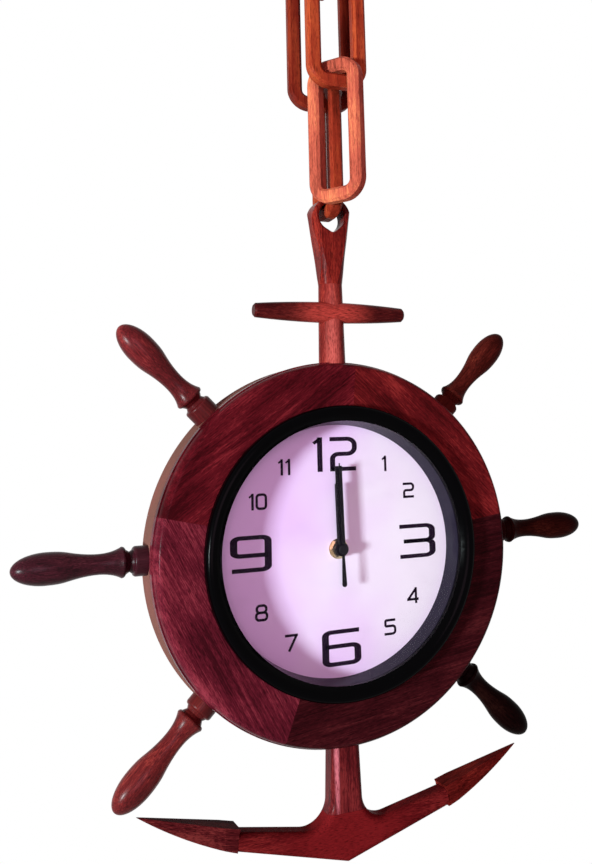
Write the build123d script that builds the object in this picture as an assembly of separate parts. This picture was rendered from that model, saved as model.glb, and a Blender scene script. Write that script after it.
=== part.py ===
from build123d import *
import math
import os

# Wall clock in a turned wooden ship's wheel, mounted on a wooden anchor and hung by a wooden chain.
#
# Working frame: x to the viewer's right, y into the wall, z up. The wheel's axis is the line
# x = z = 0 and the wheel's front face is y = 0. Every piece is shifted at the end, so that the
# origin of the finished part is the point where a wall hook carries the top link.

# Fits
GLUE = 0.05          # gap in a glued wood joint or a cemented seat
RUN = 0.06           # radial clearance of a running shaft
PRESS = 0.01         # radial clearance of a part pressed on its shaft
LOOSE = 0.30         # clearance beside a moving piece
LINK_GAP = 0.70      # slack between two crossing chain links at rest
EYE_GAP = 0.95       # slack between the link and the round top of the anchor's hole

# Wheel rim: a ring glued up from four boards
RIM_RADIUS = 120.0
RIM_WIDTH = 32.0          # from the side wall to the bore
RIM_DEPTH = 35.0
OVOLO_WIDTH = 4.0         # width of the quarter-round, across the front face
OVOLO_DEPTH = 7.4         # depth of the quarter-round along y
QUIRK = 0.8               # small step between the quarter-round and the side wall
BOARD_JOINTS = (8.0, 85.0, 167.0, 249.0)   # angles of the butt joints, in degrees
BOARD_NAMES = ("rim_board_upper_right", "rim_board_upper_left",
               "rim_board_lower_left", "rim_board_lower_right")

# Handles: a spoke layout of eight, where the anchor's shank takes the top and bottom places
HANDLES = {"handle_right": 0.3, "handle_upper_right": 45.8, "handle_upper_left": 134.5,
           "handle_left": 180.4, "handle_lower_left": 225.3, "handle_lower_right": 315.5}
HANDLE_Y = 21.5
HANDLE_RISE = 2.4         # the handles' common middle lies this far above the wheel's axis
HANDLE_LENGTH = 75.5      # from the side wall to the tip
HANDLE_BOSS_RADIUS = 8.9
HANDLE_BOSS_LENGTH = 8.2
HANDLE_BOSS_EASE = 1.8    # round at the end of the boss
HANDLE_GROOVE_RADIUS = 5.9
HANDLE_GROOVE_LENGTH = 1.9
HANDLE_COLLAR_RADIUS = 9.1
HANDLE_COLLAR_LENGTH = 4.5
HANDLE_COLLAR_EDGE = 2.0  # the collar's rounded rim, along the handle
HANDLE_COLLAR_DROP = 1.6  # and its height
HANDLE_WAIST_RADIUS = 5.95
HANDLE_WAIST_LENGTH = 13.0
HANDLE_BULB_RADIUS = 9.35
HANDLE_BULB_LENGTH = 19.0 # from the thickest place to the tip
HANDLE_FOOT = 4.0         # the blank reaches this far into the side wall before its foot is cut
TENON_RADIUS = 5.0
TENON_LENGTH = 15.0

# Anchor
ANCHOR_Y = 15.5           # middle plane of the anchor, the loaded chain strand and the eye
SHANK_RADIUS = 9.0         # at the rim
SHANK_TOP_RADIUS = 8.0    # at the joint with the eye piece
SHANK_LENGTH = 52.8       # from the rim to that joint
SHANK_SEAT = 8.0          # a shank's blank reaches this far into the rim before its end is cut to fit
SHANK_TENON_RADIUS = 6.0
SHANK_TENON_LENGTH = 15.0
EYE_RISE = 46.2           # from that joint to the middle of the eye
EYE_RADIUS = 13.4
EYE_HOLE_RADIUS = 9.3
EYE_HOLE_TIP = 11.0       # depth of the narrow foot of the hole below the eye's centre
EYE_HOLE_FOOT_RADIUS = 3.0
EYE_HOLE_ROUND = 2.2      # rounding of the hole's edges, where the link bears
EYE_THICKNESS = 16.0
EYE_ROUND = 1.7           # rounding of the eye's outer edge
EYE_WAIST_HALF = 8.9      # half of the width where the round neck has become flat-sided
EYE_WAIST_RISE = 20.0
EYE_SHOULDER_HALF = 11.9  # and half of the width below the hole
EYE_SHOULDER_DROP = 11.0
EYE_NECK_FLARE = 0.13     # how fast the round neck opens to the flat sides
EYE_TENON_RADIUS = 4.5
EYE_TENON_LENGTH = 9.0
STOCK_RISE = 33.6         # from the rim to the middle of the stock
STOCK_X = -1.5            # the stock stands a little to the left in its notch
STOCK_HALF = 53.2
STOCK_MID_RADIUS = 7.0
STOCK_END_RADIUS = 4.7
STOCK_PROUD = 1.0         # how far the stock stands out in front of the shank
CROWN_JOINT_DROP = 37.5   # from the rim to the joint between the lower shank and the carved crown
CROWN_KEEL_DROP = 66.6
CROWN_DEPTH = 17.0
CROWN_ROUND = 4.5
CROWN_FILLET = 15.0       # curve between the shank and the top of an arm
SHANK_FOOT_HALF = 11.0
ARM_ROOT_DROP = 47.5      # where the lines of the shank and of the arm's top would meet
ARM_HALF = 69.0           # distance of the fluke joint from the middle
ARM_TOP_DROP = 36.6
ARM_LOW_DROP = 47.0
FLUKE_LENGTH = 57.5
FLUKE_TIP_DROP = 19.1
FLUKE_STEP = 2.2          # the fluke stands above the arm by this much
FLUKE_HALF_DEPTH = 8.0
FLUKE_TIP_HALF = 0.6
FLUKE_BELLY = 1.9         # bulge of the fluke's lower edge

# Chain: square-bar links with rounded ends
BAR = 9.2
BAR_CHAMFER = 1.8
LINK_INNER = 22.6         # room between the two bars of a link
LINK_CORNER = 15.0
LINK_INNER_CORNER = 4.2
EYE_SIDE = 1.55           # room on each side of the eye in the narrower link that goes through it
EYE_LINK_LENGTH = 96.0
REAR_LINK_LENGTH = 104.0
FRONT_LINK_LENGTH = 97.8
END_LINK_LENGTH = 97.5
TOP_LINK_LENGTH = 96.0
STRAND_GAP = 28.0         # distance between the two strands, front to back
REAR_EXTRA = 5.6          # the rear link is wider than the others
REAR_TURN = -8.0          # turn of the rear link about z, in degrees
FRONT_TURN = -3.0         # turn of the front link about z
END_TURN = -56.0          # turn of the free end link about z
END_RIDE = 0.9            # the turned end link rides on the corners of its neighbour
SLACK_X = -2.8            # the slack strand hangs a little to the left
END_SHIFT = -1.4          # and its end link a little further
STRAND_SIDE = 3.0         # room beside the two strands on the top link's lower bar

# Clock insert: bezel, lens, reflector ring, dial and pan, stacked along y
BORE_FIT = 0.5
BEZEL_FLANGE = 3.5        # how far the ring overlaps the wood around the bore
BEZEL_PROUD = 7.4
BEZEL_SHOULDER = 3.4      # radius of the ring's outer shoulder
BEZEL_TUBE_WALL = 4.5
LIP_WIDTH = 1.9           # how far the lip reaches inside the tube
LIP_FRONT_Y = -3.7
LIP_BACK_Y = -0.6
LENS_THICKNESS = 2.0
REFLECTOR_FRONT_WIDTH = 1.4
REFLECTOR_BACK_WIDTH = 3.7
DIAL_ROOM = 12.15         # from the lens to the dial
DIAL_THICKNESS = 1.0
PAN_THICKNESS = 2.3
PAN_FLANGE_THICKNESS = 2.0
PAN_FLANGE_WIDTH = 9.5
PAN_SCREW_COUNT = 4
PAN_SCREW_RADIUS = 1.1
PAN_SCREW_LENGTH = 9.0
PAN_SCREW_HEAD_RADIUS = 2.0
PAN_SCREW_HEAD_HEIGHT = 1.4
CLIP_ANGLES = (30.0, 150.0, 270.0)
CLIP_WIDTH = 12.0
CLIP_SHEET = 1.0
CLIP_FOOT = 10.0
CLIP_REACH = 9.0
CLIP_SCREW_RADIUS = 1.5
CLIP_SCREW_LENGTH = 10.0
CLIP_SCREW_HEAD_RADIUS = 3.0
CLIP_SCREW_HEAD_HEIGHT = 1.6

# Quartz movement
CASE_CORNER = 5.0
CASE_INNER_CORNER = 1.5
CASE_WALL = 1.2
TRAIN_ROOM = 10.3         # from the centre arbor to the wall of the battery bay
TRAIN_END = 1.45          # from the motor's magnet to the cover
GASKET_THICKNESS = 0.8
GASKET_RADIUS = 11.0
BUSH_RADIUS = 4.0
BUSH_PROUD = 0.6          # how far the bush stands out of its nut
WASHER_RADIUS = 6.4
WASHER_THICKNESS = 0.8
NUT_FLATS = 10.0
NUT_THICKNESS = 2.4
BATTERY_RADIUS = 7.1
BATTERY_LENGTH = 49.5
BATTERY_NUB_RADIUS = 2.7
BATTERY_NUB_LENGTH = 1.0
BATTERY_FLOOR = 0.8       # room below the cell
BATTERY_ROOM = 3.1        # room at the cell's ends, for the contacts
CONTACT_SHEET = 0.5
CONTACT_WIDTH = 10.0
KNOB_RADIUS = 5.5
KNOB_THICKNESS = 1.5

# Wheel train: teeth, modules and the places of the arbors around the centre arbor
SECOND_ARBOR_RADIUS = 0.5
MINUTE_TUBE_RADIUS = 1.4
HOUR_TUBE_RADIUS = 2.4
ARBOR_RADIUS = 0.6
SETTING_ARBOR_RADIUS = 0.9
WHEEL_THICKNESS = 0.7
LEVEL_STEP = 1.25         # distance along y between one level of wheels and the next
CANNON_TEETH = 12
MINUTE_WHEEL_TEETH = 36
MINUTE_PINION_TEETH = 10
HOUR_WHEEL_TEETH = 40
SECOND_PINION_TEETH = 10
THIRD_WHEEL_TEETH = 75
THIRD_PINION_TEETH = 10
CENTRE_WHEEL_TEETH = 80
ROTOR_PINION_TEETH = 10
STEP_WHEEL_TEETH = 60
STEP_PINION_TEETH = 12
SECOND_WHEEL_TEETH = 60
SETTING_DISTANCE = 12.0
SETTING_ANGLE = 60.0
THIRD_DISTANCE = 11.0
THIRD_ANGLE = 180.0
STEP_DISTANCE = 11.0
STEP_ANGLE = 120.0
ROTOR_DISTANCE = 9.0
ROTOR_ANGLE = 150.0
ROTOR_RADIUS = 2.5
ROTOR_LENGTH = 3.0
STATOR_SHEET = 1.0

# Hands
HAND_SHEET = 0.5
HAND_HUB_HEIGHT = 0.3
HOUR_HAND_GAP = 0.9       # from the bush to the hour hand
MINUTE_HAND_GAP = 1.0     # from the hour hand's hub to the minute hand
SECOND_HAND_GAP = 0.9     # from the minute hand's hub to the second hand
HOUR_HAND_LENGTH = 41.3
MINUTE_HAND_LENGTH = 52.6
SECOND_HAND_LENGTH = 54.4
SECOND_TAIL_LENGTH = 23.3
HAND_WIDTH = 4.7
HUB_RADIUS = 4.4
SECOND_HUB_RADIUS = 3.0
SECOND_TAIL_HALF = 1.6
HAND_TURN = 1.2           # the three hands stand this far to the left of the twelve

# Derived places
RIM_FACE_RADIUS = RIM_RADIUS - QUIRK - OVOLO_WIDTH
BORE_RADIUS = RIM_RADIUS - RIM_WIDTH
SHANK_JOINT_Z = RIM_RADIUS + SHANK_LENGTH
EYE_Z = SHANK_JOINT_Z + EYE_RISE
STOCK_Z = RIM_RADIUS + STOCK_RISE
CROWN_JOINT_Z = -RIM_RADIUS - CROWN_JOINT_DROP
CROWN_KEEL_Z = -RIM_RADIUS - CROWN_KEEL_DROP
ARM_ROOT_Z = -RIM_RADIUS - ARM_ROOT_DROP
ARM_TOP_Z = -RIM_RADIUS - ARM_TOP_DROP
ARM_LOW_Z = -RIM_RADIUS - ARM_LOW_DROP
FLUKE_TIP_X = ARM_HALF + FLUKE_LENGTH
FLUKE_TIP_Z = -RIM_RADIUS - FLUKE_TIP_DROP
LINK_WIDTH = LINK_INNER + 2 * BAR
REAR_LINK_WIDTH = LINK_WIDTH + REAR_EXTRA
REAR_X = -REAR_EXTRA / 2
END_X = SLACK_X + END_SHIFT
EYE_LINK_WIDTH = EYE_THICKNESS + 2 * EYE_SIDE + 2 * BAR
BEZEL_TUBE_RADIUS = BORE_RADIUS - BORE_FIT
BEZEL_RADIUS = BEZEL_TUBE_RADIUS + BEZEL_FLANGE
TUBE_INNER = BEZEL_TUBE_RADIUS - BEZEL_TUBE_WALL
LIP_RADIUS = TUBE_INNER - LIP_WIDTH
REFLECTOR_FRONT_RADIUS = TUBE_INNER - REFLECTOR_FRONT_WIDTH
DIAL_RADIUS = TUBE_INNER - REFLECTOR_BACK_WIDTH
PAN_FLANGE_INNER = BEZEL_TUBE_RADIUS - PAN_FLANGE_WIDTH
LENS_FRONT_Y = LIP_BACK_Y + GLUE
LENS_BACK_Y = LENS_FRONT_Y + LENS_THICKNESS
DIAL_Y = LENS_BACK_Y + DIAL_ROOM
DIAL_BACK_Y = DIAL_Y + DIAL_THICKNESS
PAN_FRONT_Y = DIAL_BACK_Y + GLUE
PAN_BACK_Y = PAN_FRONT_Y + PAN_THICKNESS
FLANGE_BACK_Y = PAN_BACK_Y + PAN_FLANGE_THICKNESS
CASE_FRONT_Y = PAN_BACK_Y + GASKET_THICKNESS
CASE_FLOOR_Y = CASE_FRONT_Y + CASE_WALL
COVER_Y = CASE_FLOOR_Y + 5 * LEVEL_STEP + WHEEL_THICKNESS + 2 * LOOSE + ROTOR_LENGTH + TRAIN_END
CASE_BACK_Y = COVER_Y + CASE_WALL
BAY_TOP_Z = -TRAIN_ROOM - CASE_WALL
BATTERY_Z = BAY_TOP_Z - LOOSE - BATTERY_RADIUS
BATTERY_Y = CASE_FLOOR_Y + LOOSE + BATTERY_RADIUS
CASE_INNER_X = (BATTERY_LENGTH + BATTERY_NUB_LENGTH + BATTERY_ROOM) / 2
CASE_INNER_Z = BATTERY_RADIUS + BATTERY_FLOOR - BATTERY_Z
CASE_WIDTH = 2 * (CASE_INNER_X + CASE_WALL)
CASE_HEIGHT = 2 * (CASE_INNER_Z + CASE_WALL)
BUSH_FRONT_Y = DIAL_Y - WASHER_THICKNESS - NUT_THICKNESS - BUSH_PROUD
HOUR_HAND_Y = BUSH_FRONT_Y - HOUR_HAND_GAP - HAND_SHEET
MINUTE_HAND_Y = HOUR_HAND_Y - HAND_HUB_HEIGHT - MINUTE_HAND_GAP - HAND_SHEET
SECOND_HAND_Y = MINUTE_HAND_Y - HAND_HUB_HEIGHT - SECOND_HAND_GAP - HAND_SHEET
EYE_LINK_LOW = EYE_Z + EYE_HOLE_RADIUS - EYE_GAP - BAR
EYE_LINK_TOP = EYE_LINK_LOW + EYE_LINK_LENGTH
REAR_LINK_LOW = EYE_LINK_TOP - 2 * BAR - LINK_GAP
REAR_LINK_TOP = REAR_LINK_LOW + REAR_LINK_LENGTH
TOP_LINK_LOW = REAR_LINK_TOP - 2 * BAR - LINK_GAP
TOP_LINK_TOP = TOP_LINK_LOW + TOP_LINK_LENGTH
FRONT_LINK_LOW = REAR_LINK_TOP - FRONT_LINK_LENGTH
END_LINK_TOP = FRONT_LINK_LOW + 2 * BAR + END_RIDE
END_LINK_LOW = END_LINK_TOP - END_LINK_LENGTH
FRONT_Y = ANCHOR_Y - STRAND_GAP
TOP_LINK_Y = ANCHOR_Y - STRAND_GAP / 2
TOP_LINK_WIDTH = STRAND_GAP + 3 * BAR + 2 * STRAND_SIDE
HANG_Z = TOP_LINK_TOP - BAR
STOCK_Y = ANCHOR_Y - SHANK_RADIUS - STOCK_PROUD + STOCK_MID_RADIUS


def slab(sketch, front, back):
    """A sketch drawn in (x, z) and made solid between two depths."""
    plane = Plane((0, back, 0), x_dir=(1, 0, 0), z_dir=(0, -1, 0))
    return extrude(plane * sketch, amount=back - front)


def disc(radius, front, back, x=0.0, z=0.0):
    """A round plate or shaft along y."""
    return slab(Pos(x, z) * Circle(radius), front, back)


def tube(outer, inner, front, back, x=0.0, z=0.0):
    """A round tube along y."""
    return slab(Pos(x, z) * (Circle(outer) - Circle(inner)), front, back)


def turned(*points):
    """A ring about the wheel's axis from a closed outline in (radius, y)."""
    return revolve(make_face(Polyline(*points, close=True)), Axis.Y)


def polar(distance, angle):
    """The (x, z) place at a distance and an angle from the wheel's axis."""
    return distance * math.cos(math.radians(angle)), distance * math.sin(math.radians(angle))


def spin(shape, angle):
    """Turn a piece that points along +x about the wheel's axis, to an angle seen from the front."""
    return Rot(0, -angle, 0) * shape


def peg(radius, low, high, y):
    """A round peg along z."""
    return Pos(0, y, low) * Cylinder(radius, high - low, align=(Align.CENTER, Align.CENTER, Align.MIN))


def spoke(radius, inner, outer, y):
    """A round peg along +x, between two distances from the wheel's axis."""
    return Pos(inner, y, 0) * Rot(0, 90, 0) * Cylinder(
        radius, outer - inner, align=(Align.CENTER, Align.CENTER, Align.MIN))


# Wheel rim

def rim_ring(grow=0.0):
    """The whole moulded ring, grown outward for cutting the ends that seat on it."""
    outer = RIM_RADIUS + grow
    edge = outer - QUIRK
    wall_y = OVOLO_DEPTH + QUIRK
    outline = [
        Line((BORE_RADIUS, -grow), (RIM_FACE_RADIUS, -grow)),
        EllipticalCenterArc((RIM_FACE_RADIUS, OVOLO_DEPTH), edge - RIM_FACE_RADIUS, OVOLO_DEPTH + grow,
                            start_angle=270, arc_size=90),
        Polyline((edge, OVOLO_DEPTH), (edge, wall_y), (outer, wall_y), (outer, RIM_DEPTH),
                 (BORE_RADIUS, RIM_DEPTH), (BORE_RADIUS, -grow)),
    ]
    return revolve(make_face(outline), Axis.Y)


def wedge(start, end):
    """A pie slice in front view, a little short of both joint lines."""
    reach = 2 * RIM_RADIUS
    trim = math.degrees(GLUE / 2 / BORE_RADIUS)
    steps = 4
    rays = [start + trim + (end - start - 2 * trim) * i / steps for i in range(steps + 1)]
    return slab(make_face(Polyline((0, 0), *[polar(reach, a) for a in rays], close=True)),
                -RIM_DEPTH, 2 * RIM_DEPTH)


def rim_boards():
    """The ring with its tenon and screw holes, cut at the four butt joints."""
    ring = rim_ring()
    floor = RIM_RADIUS - TENON_LENGTH - GLUE
    for angle in HANDLES.values():
        ring -= handle_place(angle) * spoke(TENON_RADIUS + GLUE, floor, RIM_RADIUS + HANDLE_RISE, HANDLE_Y)
    shank_floor = RIM_RADIUS - SHANK_TENON_LENGTH - GLUE
    for angle in (90, 270):
        ring -= spin(spoke(SHANK_TENON_RADIUS + GLUE, shank_floor, RIM_RADIUS + 1, ANCHOR_Y), angle)
    for angle in CLIP_ANGLES:
        ring -= spin(spoke(CLIP_SCREW_RADIUS + GLUE, BORE_RADIUS - 1,
                           BORE_RADIUS + CLIP_SCREW_LENGTH, clip_screw_y()), angle)
    ends = BOARD_JOINTS[1:] + (BOARD_JOINTS[0] + 360,)
    return {name: ring & wedge(start, end) for name, start, end in zip(BOARD_NAMES, BOARD_JOINTS, ends)}


# Handles

def handle_place(angle):
    """Where a handle that points along +x goes on the wheel."""
    return Pos(0, 0, HANDLE_RISE) * Rot(0, -angle, 0)


def handle(angle):
    """One turned handle at its angle, with its tenon and a foot that fits the side wall."""
    start = RIM_RADIUS - HANDLE_FOOT
    boss_end = RIM_RADIUS + HANDLE_BOSS_LENGTH
    boss_flat = boss_end - HANDLE_BOSS_EASE
    boss_low = HANDLE_BOSS_RADIUS - HANDLE_BOSS_EASE
    collar_low = HANDLE_COLLAR_RADIUS - HANDLE_COLLAR_DROP
    tip = RIM_RADIUS + HANDLE_LENGTH
    groove = boss_end + HANDLE_GROOVE_LENGTH
    collar = groove + HANDLE_COLLAR_LENGTH
    waist = collar + HANDLE_WAIST_LENGTH
    bulb = tip - HANDLE_BULB_LENGTH
    outline = [
        Polyline((start, 0), (start, HANDLE_BOSS_RADIUS), (boss_flat, HANDLE_BOSS_RADIUS)),
        EllipticalCenterArc((boss_flat, boss_low), HANDLE_BOSS_EASE, HANDLE_BOSS_EASE,
                            start_angle=0, arc_size=90),
        Polyline((boss_end, boss_low), (groove, HANDLE_GROOVE_RADIUS),
                 (collar - HANDLE_COLLAR_EDGE, collar_low)),
        EllipticalCenterArc((collar, collar_low), HANDLE_COLLAR_EDGE, HANDLE_COLLAR_DROP,
                            start_angle=90, arc_size=90),
        Spline((collar, HANDLE_COLLAR_RADIUS), (waist, HANDLE_WAIST_RADIUS),
               ((waist + bulb) / 2, (HANDLE_WAIST_RADIUS + HANDLE_BULB_RADIUS) / 2),
               (bulb, HANDLE_BULB_RADIUS), tangents=((1, -0.6), (1, 0))),
        EllipticalCenterArc((bulb, 0), HANDLE_BULB_LENGTH, HANDLE_BULB_RADIUS, start_angle=0, arc_size=90),
        Line((tip, 0), (start, 0)),
    ]
    body = handle_place(angle) * Pos(0, HANDLE_Y, 0) * revolve(make_face(outline), Axis.X)
    body -= disc(RIM_RADIUS + GLUE, -RIM_DEPTH, 2 * RIM_DEPTH)
    tenon = spoke(TENON_RADIUS, RIM_RADIUS - TENON_LENGTH, RIM_RADIUS + HANDLE_FOOT, HANDLE_Y)
    return body + handle_place(angle) * tenon


# Anchor

def stock(grow=0.0):
    """The cross-bar: a turned bar, thickest in the middle, with softened ends."""
    end = STOCK_HALF + grow
    soft = 1.2
    outline = [
        Polyline((-end, 0), (-end, STOCK_END_RADIUS + grow - soft), (-end + soft, STOCK_END_RADIUS + grow)),
        ThreePointArc((-end + soft, STOCK_END_RADIUS + grow), (0, STOCK_MID_RADIUS + grow),
                      (end - soft, STOCK_END_RADIUS + grow)),
        Polyline((end - soft, STOCK_END_RADIUS + grow), (end, STOCK_END_RADIUS + grow - soft), (end, 0),
                 (-end, 0)),
    ]
    return Pos(STOCK_X, STOCK_Y, STOCK_Z) * revolve(make_face(outline), Axis.X)


def upper_shank():
    """The round shank above the wheel, notched in front for the stock and bored for the eye piece."""
    low, top = RIM_RADIUS - SHANK_SEAT, SHANK_JOINT_Z - GLUE
    body = Pos(0, ANCHOR_Y, low) * Cone(SHANK_RADIUS, SHANK_TOP_RADIUS, top - low,
                                        align=(Align.CENTER, Align.CENTER, Align.MIN))
    body -= rim_ring(GLUE)
    body += peg(SHANK_TENON_RADIUS, RIM_RADIUS - SHANK_TENON_LENGTH, RIM_RADIUS + SHANK_SEAT / 2, ANCHOR_Y)
    body -= stock(GLUE)
    socket = SHANK_JOINT_Z - EYE_TENON_LENGTH - 2 * GLUE
    return body - peg(EYE_TENON_RADIUS + GLUE, socket, SHANK_JOINT_Z + 1, ANCHOR_Y)


def trumpet(radius, rounding, half):
    """A round hole along y with rolled-over mouths, as a solid to cut with."""
    mouth = radius + rounding
    sag = rounding * (1 - math.sqrt(0.5))
    throat = half - rounding
    beyond = half + rounding
    outline = [
        Polyline((0, -beyond), (mouth, -beyond), (mouth, -half)),
        ThreePointArc((mouth, -half), (radius + sag, sag - half), (radius, -throat)),
        Line((radius, -throat), (radius, throat)),
        ThreePointArc((radius, throat), (radius + sag, half - sag), (mouth, half)),
        Polyline((mouth, half), (mouth, beyond), (0, beyond), (0, -beyond)),
    ]
    return revolve(make_face(outline), Axis.Y)


def anchor_eye():
    """The flared top of the shank, with the hole that the chain goes through."""
    half = EYE_THICKNESS / 2
    right = [(SHANK_TOP_RADIUS, SHANK_JOINT_Z), (EYE_WAIST_HALF, SHANK_JOINT_Z + EYE_WAIST_RISE),
             (EYE_SHOULDER_HALF, EYE_Z - EYE_SHOULDER_DROP), (EYE_RADIUS, EYE_Z)]
    left = [(-x, z) for x, z in reversed(right)]
    outline = make_face([
        Spline(*right, tangents=((0, 1), (0, 1))),
        ThreePointArc((EYE_RADIUS, EYE_Z), (0, EYE_Z + EYE_RADIUS), (-EYE_RADIUS, EYE_Z)),
        Spline(*left, tangents=((0, -1), (0, -1))),
        Line((-SHANK_TOP_RADIUS, SHANK_JOINT_Z), (SHANK_TOP_RADIUS, SHANK_JOINT_Z)),
    ])
    board = slab(outline, ANCHOR_Y - half, ANCHOR_Y + half)
    long_edges = [e for e in board.edges() if abs(abs(e.center().Y - ANCHOR_Y) - half) < 0.1
                  and e.center().Z > SHANK_JOINT_Z + 1]
    board = fillet(long_edges, EYE_ROUND)
    rise = EYE_Z + EYE_RADIUS - SHANK_JOINT_Z
    neck_top = SHANK_TOP_RADIUS + EYE_NECK_FLARE * rise
    neck = Cone(SHANK_TOP_RADIUS, neck_top, rise, align=(Align.CENTER, Align.CENTER, Align.MIN))
    board &= Pos(0, ANCHOR_Y, SHANK_JOINT_Z) * neck
    foot = Pos(0, EYE_Z - EYE_HOLE_TIP + EYE_HOLE_FOOT_RADIUS) * Circle(EYE_HOLE_FOOT_RADIUS)
    hole = make_hull((Pos(0, EYE_Z) * Circle(EYE_HOLE_RADIUS) + foot).edges())
    body = board - slab(hole, ANCHOR_Y - EYE_RADIUS, ANCHOR_Y + EYE_RADIUS)
    body -= Pos(0, ANCHOR_Y, EYE_Z) * trumpet(EYE_HOLE_RADIUS, EYE_HOLE_ROUND, half)
    return body + peg(EYE_TENON_RADIUS, SHANK_JOINT_Z - EYE_TENON_LENGTH, SHANK_JOINT_Z + 1, ANCHOR_Y)


def anchor_foot():
    """The lower shank and the crown, carved to one outline and split at their joint."""
    half = [(SHANK_RADIUS, -RIM_RADIUS + SHANK_SEAT), (SHANK_FOOT_HALF, ARM_ROOT_Z), (ARM_HALF, ARM_TOP_Z),
            (ARM_HALF + 1, ARM_LOW_Z)]
    mirrored = [(-x, z) for x, z in reversed(half)]
    outline = make_face(Polyline(*half, (0, CROWN_KEEL_Z), *mirrored, close=True))
    corners = outline.vertices().filter_by(lambda v: abs(v.Y - ARM_ROOT_Z) < 0.1)
    outline = fillet(corners, CROWN_FILLET)
    body = slab(outline, ANCHOR_Y - CROWN_DEPTH / 2, ANCHOR_Y + CROWN_DEPTH / 2)
    long_edges = [e for e in body.edges() if abs(abs(e.center().Y - ANCHOR_Y) - CROWN_DEPTH / 2) < 0.1
                  and abs(e.center().X) < ARM_HALF - 1 and e.center().Z < -RIM_RADIUS + SHANK_SEAT - 1]
    body = fillet(long_edges, CROWN_ROUND)
    room = Box(2 * (SHANK_FOOT_HALF + CROWN_FILLET * 0.65), 4 * CROWN_DEPTH, RIM_RADIUS,
               align=(Align.CENTER, Align.CENTER, Align.MIN))
    shank = (body & (Pos(0, ANCHOR_Y, CROWN_JOINT_Z + GLUE) * room)) - rim_ring(GLUE)
    tenon = spoke(SHANK_TENON_RADIUS, RIM_RADIUS - SHANK_TENON_LENGTH, RIM_RADIUS + SHANK_SEAT / 2, ANCHOR_Y)
    shank += spin(tenon, 270)
    crown = body - Pos(0, ANCHOR_Y, CROWN_JOINT_Z) * room
    return shank, crown


def fluke(side):
    """A pointed fluke on the end of an arm: side is -1 for left and 1 for right."""
    root = ARM_HALF + GLUE
    step_z = ARM_TOP_Z + FLUKE_STEP
    tip = (side * FLUKE_TIP_X, FLUKE_TIP_Z)
    low = (side * (root + 1), ARM_LOW_Z)
    belly = ((low[0] + tip[0]) / 2 + side * FLUKE_BELLY / 2, (low[1] + tip[1]) / 2 - FLUKE_BELLY)
    front = make_face([
        Polyline(low, (side * root, ARM_TOP_Z), (side * (root - 1), step_z), tip),
        ThreePointArc(tip, belly, low),
    ])
    half, point = FLUKE_HALF_DEPTH, FLUKE_TIP_HALF
    plan = make_face(Polyline((side * (root - 2), -half), (side * (root + 8), -half), (tip[0], -point),
                              (tip[0], point), (side * (root + 8), half), (side * (root - 2), half),
                              close=True))
    column = extrude(Pos(0, ANCHOR_Y, CROWN_KEEL_Z) * plan, amount=RIM_RADIUS)
    return slab(front, ANCHOR_Y - 2 * half, ANCHOR_Y + 2 * half) & column


# Chain

def link(width, length, low, turn, x, y):
    """A chain link with its lowest point at a height, turned about z from the plane of the wheel."""
    loop = RectangleRounded(width, length, LINK_CORNER)
    loop -= RectangleRounded(width - 2 * BAR, length - 2 * BAR, LINK_INNER_CORNER)
    body = extrude(loop, amount=BAR / 2, both=True)
    body = chamfer(body.edges().group_by(Axis.Z)[0] + body.edges().group_by(Axis.Z)[-1], BAR_CHAMFER)
    across = Vector(math.cos(math.radians(turn)), math.sin(math.radians(turn)), 0)
    plane = Plane((x, y, low + length / 2), x_dir=across, z_dir=across.cross(Vector(0, 0, 1)))
    return plane * body


def chain_links():
    """The loaded strand (rear link, eye link), the slack strand (front link, end link) and the top link."""
    rear = link(REAR_LINK_WIDTH, REAR_LINK_LENGTH, REAR_LINK_LOW, REAR_TURN, REAR_X, ANCHOR_Y)
    front = link(LINK_WIDTH, FRONT_LINK_LENGTH, FRONT_LINK_LOW, FRONT_TURN, SLACK_X, FRONT_Y)
    return {
        "chain_top_link": link(TOP_LINK_WIDTH, TOP_LINK_LENGTH, TOP_LINK_LOW, 90, 0, TOP_LINK_Y),
        "chain_rear_link": rear,
        "chain_eye_link": link(EYE_LINK_WIDTH, EYE_LINK_LENGTH, EYE_LINK_LOW, 90, 0, ANCHOR_Y),
        "chain_front_link": front,
        "chain_end_link": link(LINK_WIDTH, END_LINK_LENGTH, END_LINK_LOW, END_TURN, END_X, FRONT_Y),
    }


# Clock insert

def bezel():
    """The black ring: a rounded lip in front, a flange on the wood and a tube into the bore."""
    crest = BEZEL_RADIUS - BEZEL_SHOULDER
    shoulder_y = BEZEL_SHOULDER - BEZEL_PROUD
    outline = [
        Polyline((LIP_RADIUS, LIP_BACK_Y), (LIP_RADIUS, LIP_FRONT_Y)),
        Spline((LIP_RADIUS, LIP_FRONT_Y), (crest, -BEZEL_PROUD), tangents=((1, -0.9), (1, 0))),
        EllipticalCenterArc((crest, shoulder_y), BEZEL_SHOULDER, BEZEL_SHOULDER,
                            start_angle=270, arc_size=90),
        Polyline((BEZEL_RADIUS, shoulder_y), (BEZEL_RADIUS, -GLUE), (BEZEL_TUBE_RADIUS, -GLUE),
                 (BEZEL_TUBE_RADIUS, PAN_BACK_Y - GLUE), (TUBE_INNER, PAN_BACK_Y - GLUE),
                 (TUBE_INNER, LIP_BACK_Y), (LIP_RADIUS, LIP_BACK_Y)),
    ]
    body = revolve(make_face(outline), Axis.Y)
    for x, z in pan_screw_places():
        body -= disc(PAN_SCREW_RADIUS + GLUE, PAN_BACK_Y - PAN_SCREW_LENGTH, PAN_BACK_Y + 1, x, z)
    return body


def lens():
    """The clear front disc, behind the lip."""
    return disc(TUBE_INNER - GLUE, LENS_FRONT_Y, LENS_BACK_Y)


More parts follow.
